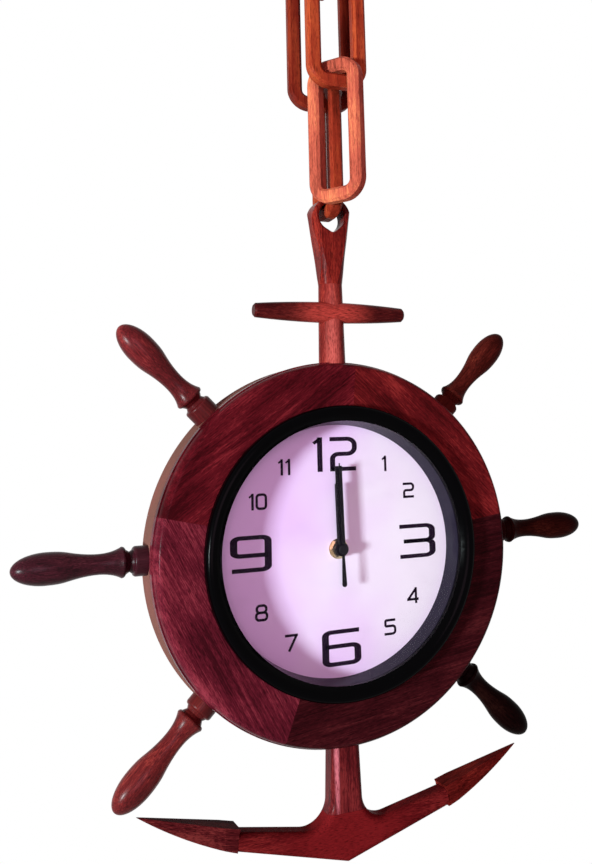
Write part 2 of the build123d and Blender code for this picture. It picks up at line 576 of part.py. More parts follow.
def reflector_ring():
    """The sloping ring between the lens and the dial."""
    outer = TUBE_INNER - GLUE
    return turned((REFLECTOR_FRONT_RADIUS, LENS_BACK_Y + GLUE), (outer, LENS_BACK_Y + GLUE),
                  (outer, DIAL_Y - GLUE), (DIAL_RADIUS, DIAL_Y - GLUE))


def dial():
    """The printed dial disc."""
    return tube(TUBE_INNER - GLUE, BUSH_RADIUS + GLUE, DIAL_Y, DIAL_BACK_Y)


def pan_screw_places():
    """Places of the pan's screws, in the middle of the bezel's tube wall."""
    pitch = 360 / PAN_SCREW_COUNT
    radius = BEZEL_TUBE_RADIUS - BEZEL_TUBE_WALL / 2
    return [polar(radius, pitch * (i + 0.5)) for i in range(PAN_SCREW_COUNT)]


def back_pan():
    """The plate behind the dial that carries the movement, with a flange on the bezel's tube."""
    body = tube(TUBE_INNER - GLUE, BUSH_RADIUS + GLUE, PAN_FRONT_Y, PAN_BACK_Y)
    body += tube(BEZEL_TUBE_RADIUS, PAN_FLANGE_INNER, PAN_BACK_Y, FLANGE_BACK_Y)
    for x, z in pan_screw_places():
        body -= disc(PAN_SCREW_RADIUS + GLUE, PAN_FRONT_Y - 1, FLANGE_BACK_Y + 1, x, z)
    return body


def pan_screws():
    """The screws that hold the pan to the bezel."""
    start = PAN_BACK_Y - PAN_SCREW_LENGTH + 1
    head = FLANGE_BACK_Y + GLUE
    return [disc(PAN_SCREW_RADIUS, start, head, x, z)
            + disc(PAN_SCREW_HEAD_RADIUS, head, head + PAN_SCREW_HEAD_HEIGHT, x, z)
            for x, z in pan_screw_places()]


def clip_screw_y():
    """Depth of the clips' screws in the bore."""
    return FLANGE_BACK_Y + GLUE + CLIP_SHEET + CLIP_FOOT / 2


def retaining_clips():
    """Bent steel clips, screwed into the bore behind the pan, that keep the insert in the wheel."""
    front = FLANGE_BACK_Y + GLUE
    outer = BORE_RADIUS - GLUE - CLIP_WIDTH ** 2 / (8 * BORE_RADIUS)
    foot = Box(CLIP_SHEET, CLIP_SHEET + CLIP_FOOT, CLIP_WIDTH, align=(Align.MAX, Align.MIN, Align.CENTER))
    toe = Box(CLIP_REACH, CLIP_SHEET, CLIP_WIDTH, align=(Align.MAX, Align.MIN, Align.CENTER))
    clip = Pos(outer, front, 0) * (foot + toe)
    clip -= spoke(CLIP_SCREW_RADIUS + GLUE, outer - 2 * CLIP_SHEET, outer + 1, clip_screw_y())
    return [spin(clip, angle) for angle in CLIP_ANGLES]


def clip_screws():
    """The wood screws of the retaining clips."""
    seat = BORE_RADIUS - 2 * GLUE - CLIP_WIDTH ** 2 / (8 * BORE_RADIUS) - CLIP_SHEET
    tip = BORE_RADIUS + CLIP_SCREW_LENGTH - 1
    screw = spoke(CLIP_SCREW_RADIUS, seat - CLIP_SCREW_HEAD_HEIGHT, tip, clip_screw_y())
    screw += spoke(CLIP_SCREW_HEAD_RADIUS, seat - CLIP_SCREW_HEAD_HEIGHT, seat, clip_screw_y())
    return [spin(screw, angle) for angle in CLIP_ANGLES]


# Movement case and its fixed parts

def case_outline():
    """The movement's square outline."""
    return RectangleRounded(CASE_WIDTH, CASE_HEIGHT, CASE_CORNER)


def case_body():
    """The front shell with its threaded bush, a battery bay and the pivots' front holes."""
    body = slab(case_outline(), CASE_FRONT_Y, COVER_Y - GLUE)
    room = RectangleRounded(2 * CASE_INNER_X, 2 * CASE_INNER_Z, CASE_INNER_CORNER)
    body -= slab(room, CASE_FLOOR_Y, COVER_Y)
    wall = Pos(0, BAY_TOP_Z + CASE_WALL / 2) * Rectangle(CASE_WIDTH - CASE_WALL, CASE_WALL)
    body += slab(wall, CASE_FLOOR_Y - CASE_WALL / 2, COVER_Y - GLUE)
    body += disc(BUSH_RADIUS, BUSH_FRONT_Y, CASE_FRONT_Y + CASE_WALL / 2)
    body -= disc(HOUR_TUBE_RADIUS + RUN, BUSH_FRONT_Y - 1, CASE_FLOOR_Y + 1)
    for x, z in (third_place(), step_place(), rotor_place(), setting_place()):
        body -= disc(ARBOR_RADIUS + RUN, CASE_FLOOR_Y - PIVOT_DEPTH, CASE_FLOOR_Y + 1, x, z)
    return body


def case_cover():
    """The back cover over the wheels, with the pivots' back holes. The battery bay stays open."""
    low = BAY_TOP_Z
    top = CASE_HEIGHT / 2
    field = Pos(0, (low + top) / 2) * Rectangle(CASE_WIDTH, top - low)
    body = slab(case_outline() & field, COVER_Y, CASE_BACK_Y)
    for x, z in (third_place(), step_place(), rotor_place()):
        body -= disc(ARBOR_RADIUS + RUN, COVER_Y - 1, COVER_Y + PIVOT_DEPTH, x, z)
    body -= disc(SECOND_ARBOR_RADIUS + RUN, COVER_Y - 1, COVER_Y + PIVOT_DEPTH)
    x, z = setting_place()
    return body - disc(SETTING_ARBOR_RADIUS + RUN, COVER_Y - 1, CASE_BACK_Y + 1, x, z)


def battery():
    """The single cell, with its raised contact on the right."""
    body = Cylinder(BATTERY_RADIUS, BATTERY_LENGTH)
    nub = Pos(0, 0, BATTERY_LENGTH / 2) * Cylinder(
        BATTERY_NUB_RADIUS, BATTERY_NUB_LENGTH, align=(Align.CENTER, Align.CENTER, Align.MIN))
    return Pos(0, BATTERY_Y, BATTERY_Z) * Rot(0, 90, 0) * (body + nub)


def battery_contacts():
    """The two contact plates at the ends of the bay, each with a bump that reaches the cell."""
    plates = []
    for side, reach in ((1, BATTERY_LENGTH / 2 + BATTERY_NUB_LENGTH), (-1, BATTERY_LENGTH / 2)):
        outer = CASE_INNER_X - GLUE
        plate = Pos(side * (outer - CONTACT_SHEET / 2), BATTERY_Y, BATTERY_Z) * Box(
            CONTACT_SHEET, CONTACT_WIDTH, CONTACT_WIDTH)
        bump_length = outer - reach - GLUE
        bump = Pos(side * (outer - bump_length / 2), BATTERY_Y, BATTERY_Z) * Rot(0, 90, 0) * Cylinder(
            BATTERY_NUB_RADIUS, bump_length)
        plates.append(plate + bump)
    return plates


def gasket():
    """The rubber ring between the pan and the movement."""
    return tube(GASKET_RADIUS, BUSH_RADIUS + GLUE, PAN_BACK_Y, CASE_FRONT_Y)


def washer():
    """The brass washer on the dial."""
    return tube(WASHER_RADIUS, BUSH_RADIUS + GLUE, DIAL_Y - WASHER_THICKNESS, DIAL_Y)


def nut():
    """The brass nut that clamps the movement to the dial."""
    back = DIAL_Y - WASHER_THICKNESS
    hexagon = RegularPolygon(NUT_FLATS / 2, 6, major_radius=False)
    return slab(hexagon - Circle(BUSH_RADIUS + GLUE), back - NUT_THICKNESS, back)


# Wheel train

PIVOT_DEPTH = CASE_WALL / 2
TOOTH_ADDENDUM = 0.75     # in modules
TOOTH_DEDENDUM = 1.15
TOOTH_TIP_SHARE = 0.16    # half thickness at the tip and at the root, as shares of the pitch
TOOTH_ROOT_SHARE = 0.21


def level(index):
    """Front and back depth of one level of wheels, counted from the front of the case."""
    front = CASE_FLOOR_Y + LOOSE + index * LEVEL_STEP
    return front, front + WHEEL_THICKNESS


def setting_place():
    return polar(SETTING_DISTANCE, SETTING_ANGLE)


def third_place():
    return polar(THIRD_DISTANCE, THIRD_ANGLE)


def step_place():
    return polar(STEP_DISTANCE, STEP_ANGLE)


def rotor_place():
    x, z = step_place()
    dx, dz = polar(ROTOR_DISTANCE, ROTOR_ANGLE)
    return x + dx, z + dz


def toothed(teeth, mate, distance, toward, in_gap):
    """Outline of a gear that meshes with a mate at a distance, in the direction toward.

    A gear has a tooth in that direction, or a gap where in_gap is true, so that the pair is in mesh.
    """
    module = 2 * distance / (teeth + mate)
    pitch = 360 / teeth
    root = module * (teeth / 2 - TOOTH_DEDENDUM)
    tip = module * (teeth / 2 + TOOTH_ADDENDUM)
    start = toward + (pitch / 2 if in_gap else 0)
    points = []
    for i in range(teeth):
        middle = start + i * pitch
        points += [polar(root, middle - TOOTH_ROOT_SHARE * pitch),
                   polar(tip, middle - TOOTH_TIP_SHARE * pitch),
                   polar(tip, middle + TOOTH_TIP_SHARE * pitch),
                   polar(root, middle + TOOTH_ROOT_SHARE * pitch)]
    return make_face(Polyline(*points, close=True))


def gear(outline, index, place=(0.0, 0.0)):
    """A gear of one level."""
    return slab(Pos(*place) * outline, *level(index))


def arbor(place, front=None, back=None):
    """A pivoted arbor from the case's floor to its cover."""
    front = CASE_FLOOR_Y - PIVOT_DEPTH + GLUE if front is None else front
    back = COVER_Y + PIVOT_DEPTH - GLUE if back is None else back
    return disc(ARBOR_RADIUS, front, back, *place)


def hour_wheel():
    """The hour wheel and its tube, which turns in the bush."""
    wheel = gear(toothed(HOUR_WHEEL_TEETH, MINUTE_PINION_TEETH, SETTING_DISTANCE, SETTING_ANGLE, False), 0)
    return (wheel + disc(HOUR_TUBE_RADIUS, HOUR_HAND_Y, level(0)[1])
            - disc(MINUTE_TUBE_RADIUS + RUN, HOUR_HAND_Y - 1, level(0)[1] + 1))


def cannon_pinion():
    """The minute tube with the cannon pinion at its back."""
    pinion = gear(toothed(CANNON_TEETH, MINUTE_WHEEL_TEETH, SETTING_DISTANCE, SETTING_ANGLE, True), 1)
    return (pinion + disc(MINUTE_TUBE_RADIUS, MINUTE_HAND_Y, level(1)[1])
            - disc(SECOND_ARBOR_RADIUS + RUN, MINUTE_HAND_Y - 1, level(1)[1] + 1))


def minute_wheel():
    """The minute wheel and its pinion, on the arbor that carries the setting knob."""
    place = setting_place()
    back = SETTING_ANGLE + 180
    wheel = gear(toothed(MINUTE_WHEEL_TEETH, CANNON_TEETH, SETTING_DISTANCE, back, False), 1, place)
    pinion = gear(toothed(MINUTE_PINION_TEETH, HOUR_WHEEL_TEETH, SETTING_DISTANCE, back, True), 0, place)
    hub = disc(SETTING_ARBOR_RADIUS, level(0)[0], CASE_BACK_Y + LOOSE + KNOB_THICKNESS, *place)
    return wheel + pinion + hub + arbor(place, back=level(0)[1])


def setting_knob():
    """The knob on the back, with finger notches."""
    x, z = setting_place()
    outline = Circle(KNOB_RADIUS)
    for i in range(12):
        outline -= Pos(*polar(KNOB_RADIUS, 30 * i)) * Circle(KNOB_RADIUS / 9)
    outline -= Circle(SETTING_ARBOR_RADIUS + PRESS)
    return slab(Pos(x, z) * outline, CASE_BACK_Y + LOOSE, CASE_BACK_Y + LOOSE + KNOB_THICKNESS)


def centre_wheel():
    """The centre wheel, which drives the cannon pinion through a slipping clutch."""
    outline = toothed(CENTRE_WHEEL_TEETH, THIRD_PINION_TEETH, THIRD_DISTANCE, THIRD_ANGLE, False)
    return gear(outline - Circle(SECOND_ARBOR_RADIUS + RUN), 2)


def third_wheel():
    """The third wheel and its pinion."""
    place = third_place()
    back = THIRD_ANGLE + 180
    pinion = gear(toothed(THIRD_PINION_TEETH, CENTRE_WHEEL_TEETH, THIRD_DISTANCE, back, True), 2, place)
    wheel = gear(toothed(THIRD_WHEEL_TEETH, SECOND_PINION_TEETH, THIRD_DISTANCE, back, False), 3, place)
    return pinion + wheel + arbor(place)


def second_wheel():
    """The long centre arbor of the second hand, with its wheel and pinion."""
    pinion = gear(toothed(SECOND_PINION_TEETH, THIRD_WHEEL_TEETH, THIRD_DISTANCE, THIRD_ANGLE, True), 3)
    wheel = gear(toothed(SECOND_WHEEL_TEETH, STEP_PINION_TEETH, STEP_DISTANCE, STEP_ANGLE, False), 4)
    return pinion + wheel + disc(SECOND_ARBOR_RADIUS, SECOND_HAND_Y, COVER_Y + PIVOT_DEPTH - GLUE)


def step_wheel():
    """The wheel and pinion between the motor's rotor and the second wheel."""
    place = step_place()
    teeth = toothed(STEP_PINION_TEETH, SECOND_WHEEL_TEETH, STEP_DISTANCE, STEP_ANGLE + 180, True)
    pinion = gear(teeth, 4, place)
    wheel = gear(toothed(STEP_WHEEL_TEETH, ROTOR_PINION_TEETH, ROTOR_DISTANCE, ROTOR_ANGLE, False), 5, place)
    return pinion + wheel + arbor(place)


def rotor():
    """The motor's magnet and pinion."""
    place = rotor_place()
    outline = toothed(ROTOR_PINION_TEETH, STEP_WHEEL_TEETH, ROTOR_DISTANCE, ROTOR_ANGLE + 180, True)
    magnet_y = level(5)[1] + LOOSE
    magnet = disc(ROTOR_RADIUS, magnet_y, magnet_y + ROTOR_LENGTH, *place)
    return gear(outline, 5, place) + magnet + arbor(place)


# Motor and circuit, fixed in the case

COIL_LENGTH = 13.0
COIL_THICKNESS = 5.0
STATOR_BAR = 3.0
STATOR_HALF = 10.0
CIRCUIT_SIZE = (17.0, 9.0)


def stator_y():
    """Depth of the stator plate, at the middle of the magnet."""
    return level(5)[1] + LOOSE + ROTOR_LENGTH / 2 - STATOR_SHEET / 2


def stator_bar_z():
    """Height of the stator's upper bar, which the coil is wound on."""
    return CASE_INNER_Z - COIL_THICKNESS / 2 - LOOSE


def stator():
    """The iron frame around the rotor, on two pillars from the case floor."""
    x, z = rotor_place()
    low = z - ROTOR_RADIUS - STATOR_BAR
    top = stator_bar_z() + STATOR_BAR / 2
    frame = Pos(x, (low + top) / 2) * Rectangle(2 * STATOR_HALF, top - low)
    inner_low = z + ROTOR_RADIUS + STATOR_BAR
    inner_top = stator_bar_z() - STATOR_BAR / 2
    window = Rectangle(2 * (STATOR_HALF - STATOR_BAR), inner_top - inner_low)
    frame -= Pos(x, (inner_low + inner_top) / 2) * window
    frame -= Pos(x, z) * Circle(ROTOR_RADIUS + LOOSE)
    frame -= Pos(*step_place()) * Circle(ARBOR_RADIUS + 2 * LOOSE)
    return slab(frame, stator_y(), stator_y() + STATOR_SHEET)


def stator_pillars():
    """Two plastic pillars between the stator and the cover."""
    x, _ = rotor_place()
    edge = STATOR_HALF - STATOR_BAR / 2
    return [disc(STATOR_BAR / 2, stator_y() + STATOR_SHEET, COVER_Y, x + side * edge, stator_bar_z())
            for side in (-1, 1)]


def coil():
    """The drive coil around the stator's upper bar."""
    x, _ = rotor_place()
    block = Box(COIL_LENGTH, COIL_THICKNESS, COIL_THICKNESS)
    core = Box(COIL_LENGTH + 1, STATOR_SHEET + 2 * GLUE, STATOR_BAR + 2 * GLUE)
    return Pos(x, stator_y() + STATOR_SHEET / 2, stator_bar_z()) * (block - core)


def circuit_board():
    """The quartz circuit on the inside of the cover."""
    width, height = CIRCUIT_SIZE
    place = Pos(CASE_INNER_X - LOOSE - width / 2, CASE_INNER_Z - 2 * LOOSE - height / 2)
    return slab(place * Rectangle(width, height), COVER_Y - STATOR_SHEET - GLUE, COVER_Y - GLUE)


# Hands

def baton(length, shaft_radius, y):
    """A straight hand that points up, with a round hub pressed on its tube."""
    bar = Pos(0, length / 2) * Rectangle(HAND_WIDTH, length)
    outline = bar + Circle(HUB_RADIUS)
    body = slab(outline, y, y + HAND_SHEET) + disc(HUB_RADIUS * 0.75, y - HAND_HUB_HEIGHT, y)
    return body - disc(shaft_radius + PRESS, y - HAND_HUB_HEIGHT - 1, y + HAND_SHEET + 1)


def hour_hand():
    """The hour hand, a little to the left of the twelve."""
    return spin(baton(HOUR_HAND_LENGTH, HOUR_TUBE_RADIUS, HOUR_HAND_Y), HAND_TURN)


def minute_hand():
    """The minute hand, in front of the hour hand."""
    return spin(baton(MINUTE_HAND_LENGTH, MINUTE_TUBE_RADIUS, MINUTE_HAND_Y), HAND_TURN)


def second_hand():
    """The second hand: a thin pointer, a widening tail and a domed hub."""
    pointer = make_face(Polyline((-0.7, 0), (-0.35, SECOND_HAND_LENGTH),
                                 (0.35, SECOND_HAND_LENGTH), (0.7, 0),
                                 (SECOND_TAIL_HALF, SECOND_TAIL_HALF - SECOND_TAIL_LENGTH),
                                 (-SECOND_TAIL_HALF, SECOND_TAIL_HALF - SECOND_TAIL_LENGTH), close=True))
    tail_end = Pos(0, SECOND_TAIL_HALF - SECOND_TAIL_LENGTH) * Circle(SECOND_TAIL_HALF)
    outline = pointer + tail_end + Circle(SECOND_HUB_RADIUS)
    hub = disc(SECOND_HUB_RADIUS, SECOND_HAND_Y - 0.9, SECOND_HAND_Y)
    hub = fillet(hub.edges().group_by(Axis.Y)[0], 0.7)
    body = slab(outline, SECOND_HAND_Y, SECOND_HAND_Y + HAND_SHEET) + hub
    body -= disc(SECOND_ARBOR_RADIUS + PRESS, SECOND_HAND_Y, SECOND_HAND_Y + HAND_SHEET + 1)
    return spin(body, HAND_TURN)


def build():
    """Every node of the clock, as a name and its solid or its list of solids."""
    lower_shank, crown = anchor_foot()
    nodes = dict(rim_boards())
    for name, angle in HANDLES.items():
        nodes[name] = handle(angle)
    nodes.update({
        "anchor_eye": anchor_eye(), "anchor_upper_shank": upper_shank(), "anchor_stock": stock(),
        "anchor_lower_shank": lower_shank, "anchor_crown": crown,
        "fluke_left": fluke(-1), "fluke_right": fluke(1),
    })
    nodes.update(chain_links())
    nodes.update({
        "bezel": bezel(), "lens": lens(), "reflector_ring": reflector_ring(), "dial": dial(),
        "back_pan": back_pan(), "pan_screws": pan_screws(), "retaining_clips": retaining_clips(),
        "clip_screws": clip_screws(), "movement_case": case_body(), "movement_cover": case_cover(),
        "battery": battery(), "battery_contacts": battery_contacts(), "gasket": gasket(),
        "washer": washer(), "nut": nut(), "hour_wheel": hour_wheel(), "cannon_pinion": cannon_pinion(),
        "minute_wheel": minute_wheel(), "setting_knob": setting_knob(), "centre_wheel": centre_wheel(),
        "third_wheel": third_wheel(), "second_wheel": second_wheel(), "step_wheel": step_wheel(),
        "motor_rotor": rotor(), "motor_stator": stator(), "stator_pillars": stator_pillars(),
        "motor_coil": coil(), "circuit_board": circuit_board(), "hour_hand": hour_hand(),
        "minute_hand": minute_hand(), "second_hand": second_hand(),
    })
    return nodes


os.makedirs("parts", exist_ok=True)
to_hook = Pos(0, -TOP_LINK_Y, -HANG_Z)
for node, shape in build().items():
    solids = shape if isinstance(shape, list) else shape.solids()
    placed = [to_hook * solid for solid in solids]
    export_step(placed[0] if len(placed) == 1 else Compound(children=placed), f"parts/{node}.step")
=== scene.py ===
"""Looks of a wooden wall clock: a ship's wheel on an anchor that hangs by a wooden chain."""

import logging
import math
from dataclasses import dataclass, field
from enum import Enum
from typing import Callable, ClassVar, Dict, List, Optional, Sequence, Tuple, Union

import bmesh
import bpy
from mathutils import Matrix, Vector

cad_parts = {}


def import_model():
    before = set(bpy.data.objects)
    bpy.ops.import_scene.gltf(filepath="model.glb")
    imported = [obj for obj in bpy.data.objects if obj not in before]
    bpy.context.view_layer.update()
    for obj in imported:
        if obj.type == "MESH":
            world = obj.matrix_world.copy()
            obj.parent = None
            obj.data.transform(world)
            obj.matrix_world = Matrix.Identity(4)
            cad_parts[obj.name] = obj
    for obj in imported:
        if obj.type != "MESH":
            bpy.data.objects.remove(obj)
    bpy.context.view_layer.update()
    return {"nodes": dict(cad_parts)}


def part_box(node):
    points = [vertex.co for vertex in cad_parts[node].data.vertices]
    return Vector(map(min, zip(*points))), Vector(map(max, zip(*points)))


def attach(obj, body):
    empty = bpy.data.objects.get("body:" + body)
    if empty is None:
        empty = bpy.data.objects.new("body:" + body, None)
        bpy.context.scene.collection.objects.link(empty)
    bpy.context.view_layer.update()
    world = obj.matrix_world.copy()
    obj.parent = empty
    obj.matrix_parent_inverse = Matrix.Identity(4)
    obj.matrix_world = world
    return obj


LOG = logging.getLogger("clock")
MM = 0.001

Colour = Tuple[float, float, float]
Point = Tuple[float, float, float]

ORIGIN: Point = (0.0, 0.0, 0.0)
WHITE: Colour = (1.0, 1.0, 1.0)
WHEEL_Z = -0.46675  # height of the wheel's axis, in metres


def srgb(red: int, green: int, blue: int) -> Colour:
    """Turns an 8-bit screen colour into the linear colour that shaders use.

    Args:
        red: Red from 0 to 255.
        green: Green from 0 to 255.
        blue: Blue from 0 to 255.

    Returns:
        The linear colour.
    """

    def linear(level: int) -> float:
        """One channel."""
        share = level / 255
        return share / 12.92 if share <= 0.04045 else ((share + 0.055) / 1.055) ** 2.4

    return linear(red), linear(green), linear(blue)


def times(colour: Colour, share: float) -> Colour:
    """A colour made darker or lighter."""
    return tuple(channel * share for channel in colour)


# Shader maths


@dataclass(frozen=True)
class Noise:
    """A noise: cells for each millimetre on each axis, finer layers, their strength, and distortion."""

    cells: Point
    detail: float = 2.0
    rough: float = 0.5
    warp: float = 0.0


def math_method(operation: str, swapped: bool = False) -> Callable[..., "Wire"]:
    """Makes a method of Wire that adds one Math node.

    Args:
        operation: The node's operation.
        swapped: Whether the wire is the last operand, behind a plain number.

    Returns:
        The method.
    """

    def method(wire: "Wire", *others: Union["Wire", float]) -> "Wire":
        """Adds the node and gives its value."""
        operands = (*others, wire) if swapped else (wire, *others)
        return wire.tree.node("ShaderNodeMath", {"operation": operation}, dict(enumerate(operands)))

    return method


class Wire:
    """A value in a shader, written with Python's operators."""

    MIDDLE = 0.5

    def __init__(self, tree: "ShaderTree", socket: bpy.types.NodeSocket) -> None:
        """Keeps the tree and the socket that carries the value."""
        self.tree = tree
        self.socket = socket

    __add__ = math_method("ADD")
    __radd__ = math_method("ADD", swapped=True)
    __sub__ = math_method("SUBTRACT")
    __rsub__ = math_method("SUBTRACT", swapped=True)
    __mul__ = math_method("MULTIPLY")
    __truediv__ = math_method("DIVIDE")
    root = math_method("SQRT")
    wave = math_method("SINE")
    size = math_method("ABSOLUTE")
    least = math_method("MINIMUM")
    most = math_method("MAXIMUM")

    def swing(self, amount: float) -> "Wire":
        """How far the value is from a noise's middle, times an amount."""
        return (self - self.MIDDLE) * amount

    def step(self, low: float, high: float) -> "Wire":
        """Rises smoothly from 0, where the value is low, to 1, where it is high."""
        return self.tree.node("ShaderNodeMapRange", {"interpolation_type": "SMOOTHSTEP"},
                              {"Value": self, "From Min": low, "From Max": high})


class ShaderTree:
    """The node tree of a material or a world."""

    def __init__(self, owner: Union[bpy.types.Material, bpy.types.World]) -> None:
        """Opens the nodes of a material or world.

        Args:
            owner: The material or world.
        """
        owner.use_nodes = True
        self.nodes = owner.node_tree.nodes
        self.links = owner.node_tree.links

    def node(self, kind: str, settings: Optional[Dict[str, object]] = None,
             sockets: Optional[Dict[object, object]] = None, output: object = 0) -> Wire:
        """Adds a node of any type.

        Args:
            kind: The node's type.
            settings: Its properties.
            sockets: Values or wires for its inputs, by name or number.
            output: Name or number of the output that is returned.

        Returns:
            The chosen output.
        """
        made = self.nodes.new(kind)
        for name, value in (settings or {}).items():
            setattr(made, name, value)
        for name, value in (sockets or {}).items():
            self.feed(made.inputs[name], value)
        return Wire(self, made.outputs[output])

    def feed(self, socket: bpy.types.NodeSocket, value: object) -> None:
        """Links a wire to a socket, or sets its constant.

        Args:
            socket: The input.
            value: A wire, a number, a colour or a vector.
        """
        if isinstance(value, Wire):
            self.links.new(value.socket, socket)
        else:
            socket.default_value = (*value, 1.0) if socket.type == "RGBA" else value

    def grain_space(self, centre: Point = ORIGIN, turn: Point = ORIGIN) -> Wire:
        """Object coordinates in millimetres, measured from a piece's middle along its own axes.

        Args:
            centre: The piece's middle in metres.
            turn: Euler angles in radians that turn +X to the piece's long axis.

        Returns:
            The position as a vector.
        """
        place = self.node("ShaderNodeTexCoord", output="Object")
        return self.node("ShaderNodeMapping", {"vector_type": "TEXTURE"},
                         {"Vector": place, "Location": centre, "Rotation": turn, "Scale": (MM, MM, MM)})

    def axes(self, position: Wire) -> Tuple[Wire, Wire, Wire]:
        """Splits a vector into its three values."""
        split = self.node("ShaderNodeSeparateXYZ", sockets={0: position}).socket.node
        return tuple(Wire(self, output) for output in split.outputs)

    def noise(self, position: Wire, kind: Noise, more_warp: float = 0.0) -> Wire:
        """Soft noise around the middle value.

        Args:
            position: Where to look it up, in millimetres.
            kind: The noise's settings.
            more_warp: Distortion beyond the kind's own.

        Returns:
            The noise.
        """
        place = self.node("ShaderNodeVectorMath", {"operation": "MULTIPLY"}, {0: position, 1: kind.cells})
        return self.node("ShaderNodeTexNoise", {"noise_dimensions": "3D"},
                         {"Vector": place, "Scale": 1.0, "Detail": kind.detail, "Roughness": kind.rough,
                          "Distortion": kind.warp + more_warp}, "Fac")

    def mix(self, share: Union[Wire, float], first: object, second: object) -> Wire:
        """Blends two colours: a share of 0 gives the first and 1 the second."""
        return self.node("ShaderNodeMix", {"data_type": "RGBA"}, {0: share, 6: first, 7: second}, 2)

    def relief(self, height: Wire, depth: float, strength: float) -> None:
        """Bumps the surface by a height from 0 to 1, with a depth in metres and a strength."""
        sockets = {"Height": height, "Distance": depth, "Strength": strength}
        self.finish(Normal=self.node("ShaderNodeBump", sockets=sockets))

    def finish(self, **sockets: object) -> None:
        """Feeds the principled surface.

        Args:
            sockets: Values or wires by socket name, with underscores for spaces.
        """
        surface = self.nodes["Principled BSDF"]
        for name, value in sockets.items():
            self.feed(surface.inputs[name.replace("_", " ")], value)


# Finishes


class Finish:
    """What a material is made from."""

    SEE_THROUGH: ClassVar[bool] = False

    def shade(self, tree: ShaderTree) -> None:
        """Builds the finish in a new material's tree, each kind in its own way."""
        raise NotImplementedError

    def material(self, name: str) -> bpy.types.Material:
        """Makes a material of this finish.

        Args:
            name: The material's name.

        Returns:
            The material.
        """
        material = bpy.data.materials.new(name)
        self.shade(ShaderTree(material))
        if self.SEE_THROUGH:
            material.surface_render_method = "BLENDED"
        return material


@dataclass(frozen=True)
class WoodTone:
    """Colours, gloss and figure of one kind of varnished wood."""

    LIGHT_CAST: ClassVar[Colour] = (1.0, 1.5, 1.1)

    dark: Colour
    middle: Colour
    light: Colour
    roughness: float = 0.20
    gloss: float = 0.016
    ring_spacing: float = 2.6
    ring: float = 0.45
    streak: float = 2.4
    cloud: float = 2.1
    pores: float = 0.55

    @classmethod
    def around(cls, middle: Colour, low: float = 0.42, high: float = 2.3, **rest: float) -> "WoodTone":
        """A tone whose dark and light grain are multiples of its middle colour.

        Args:
            middle: The main colour.
            low: Darkness of the dark grain.
            high: Brightness of the light grain.
            rest: Other fields.

        Returns:
            The tone.
        """
        light = tuple(channel * high * cast for channel, cast in zip(middle, cls.LIGHT_CAST))
        return cls(times(middle, low), middle, light, **rest)


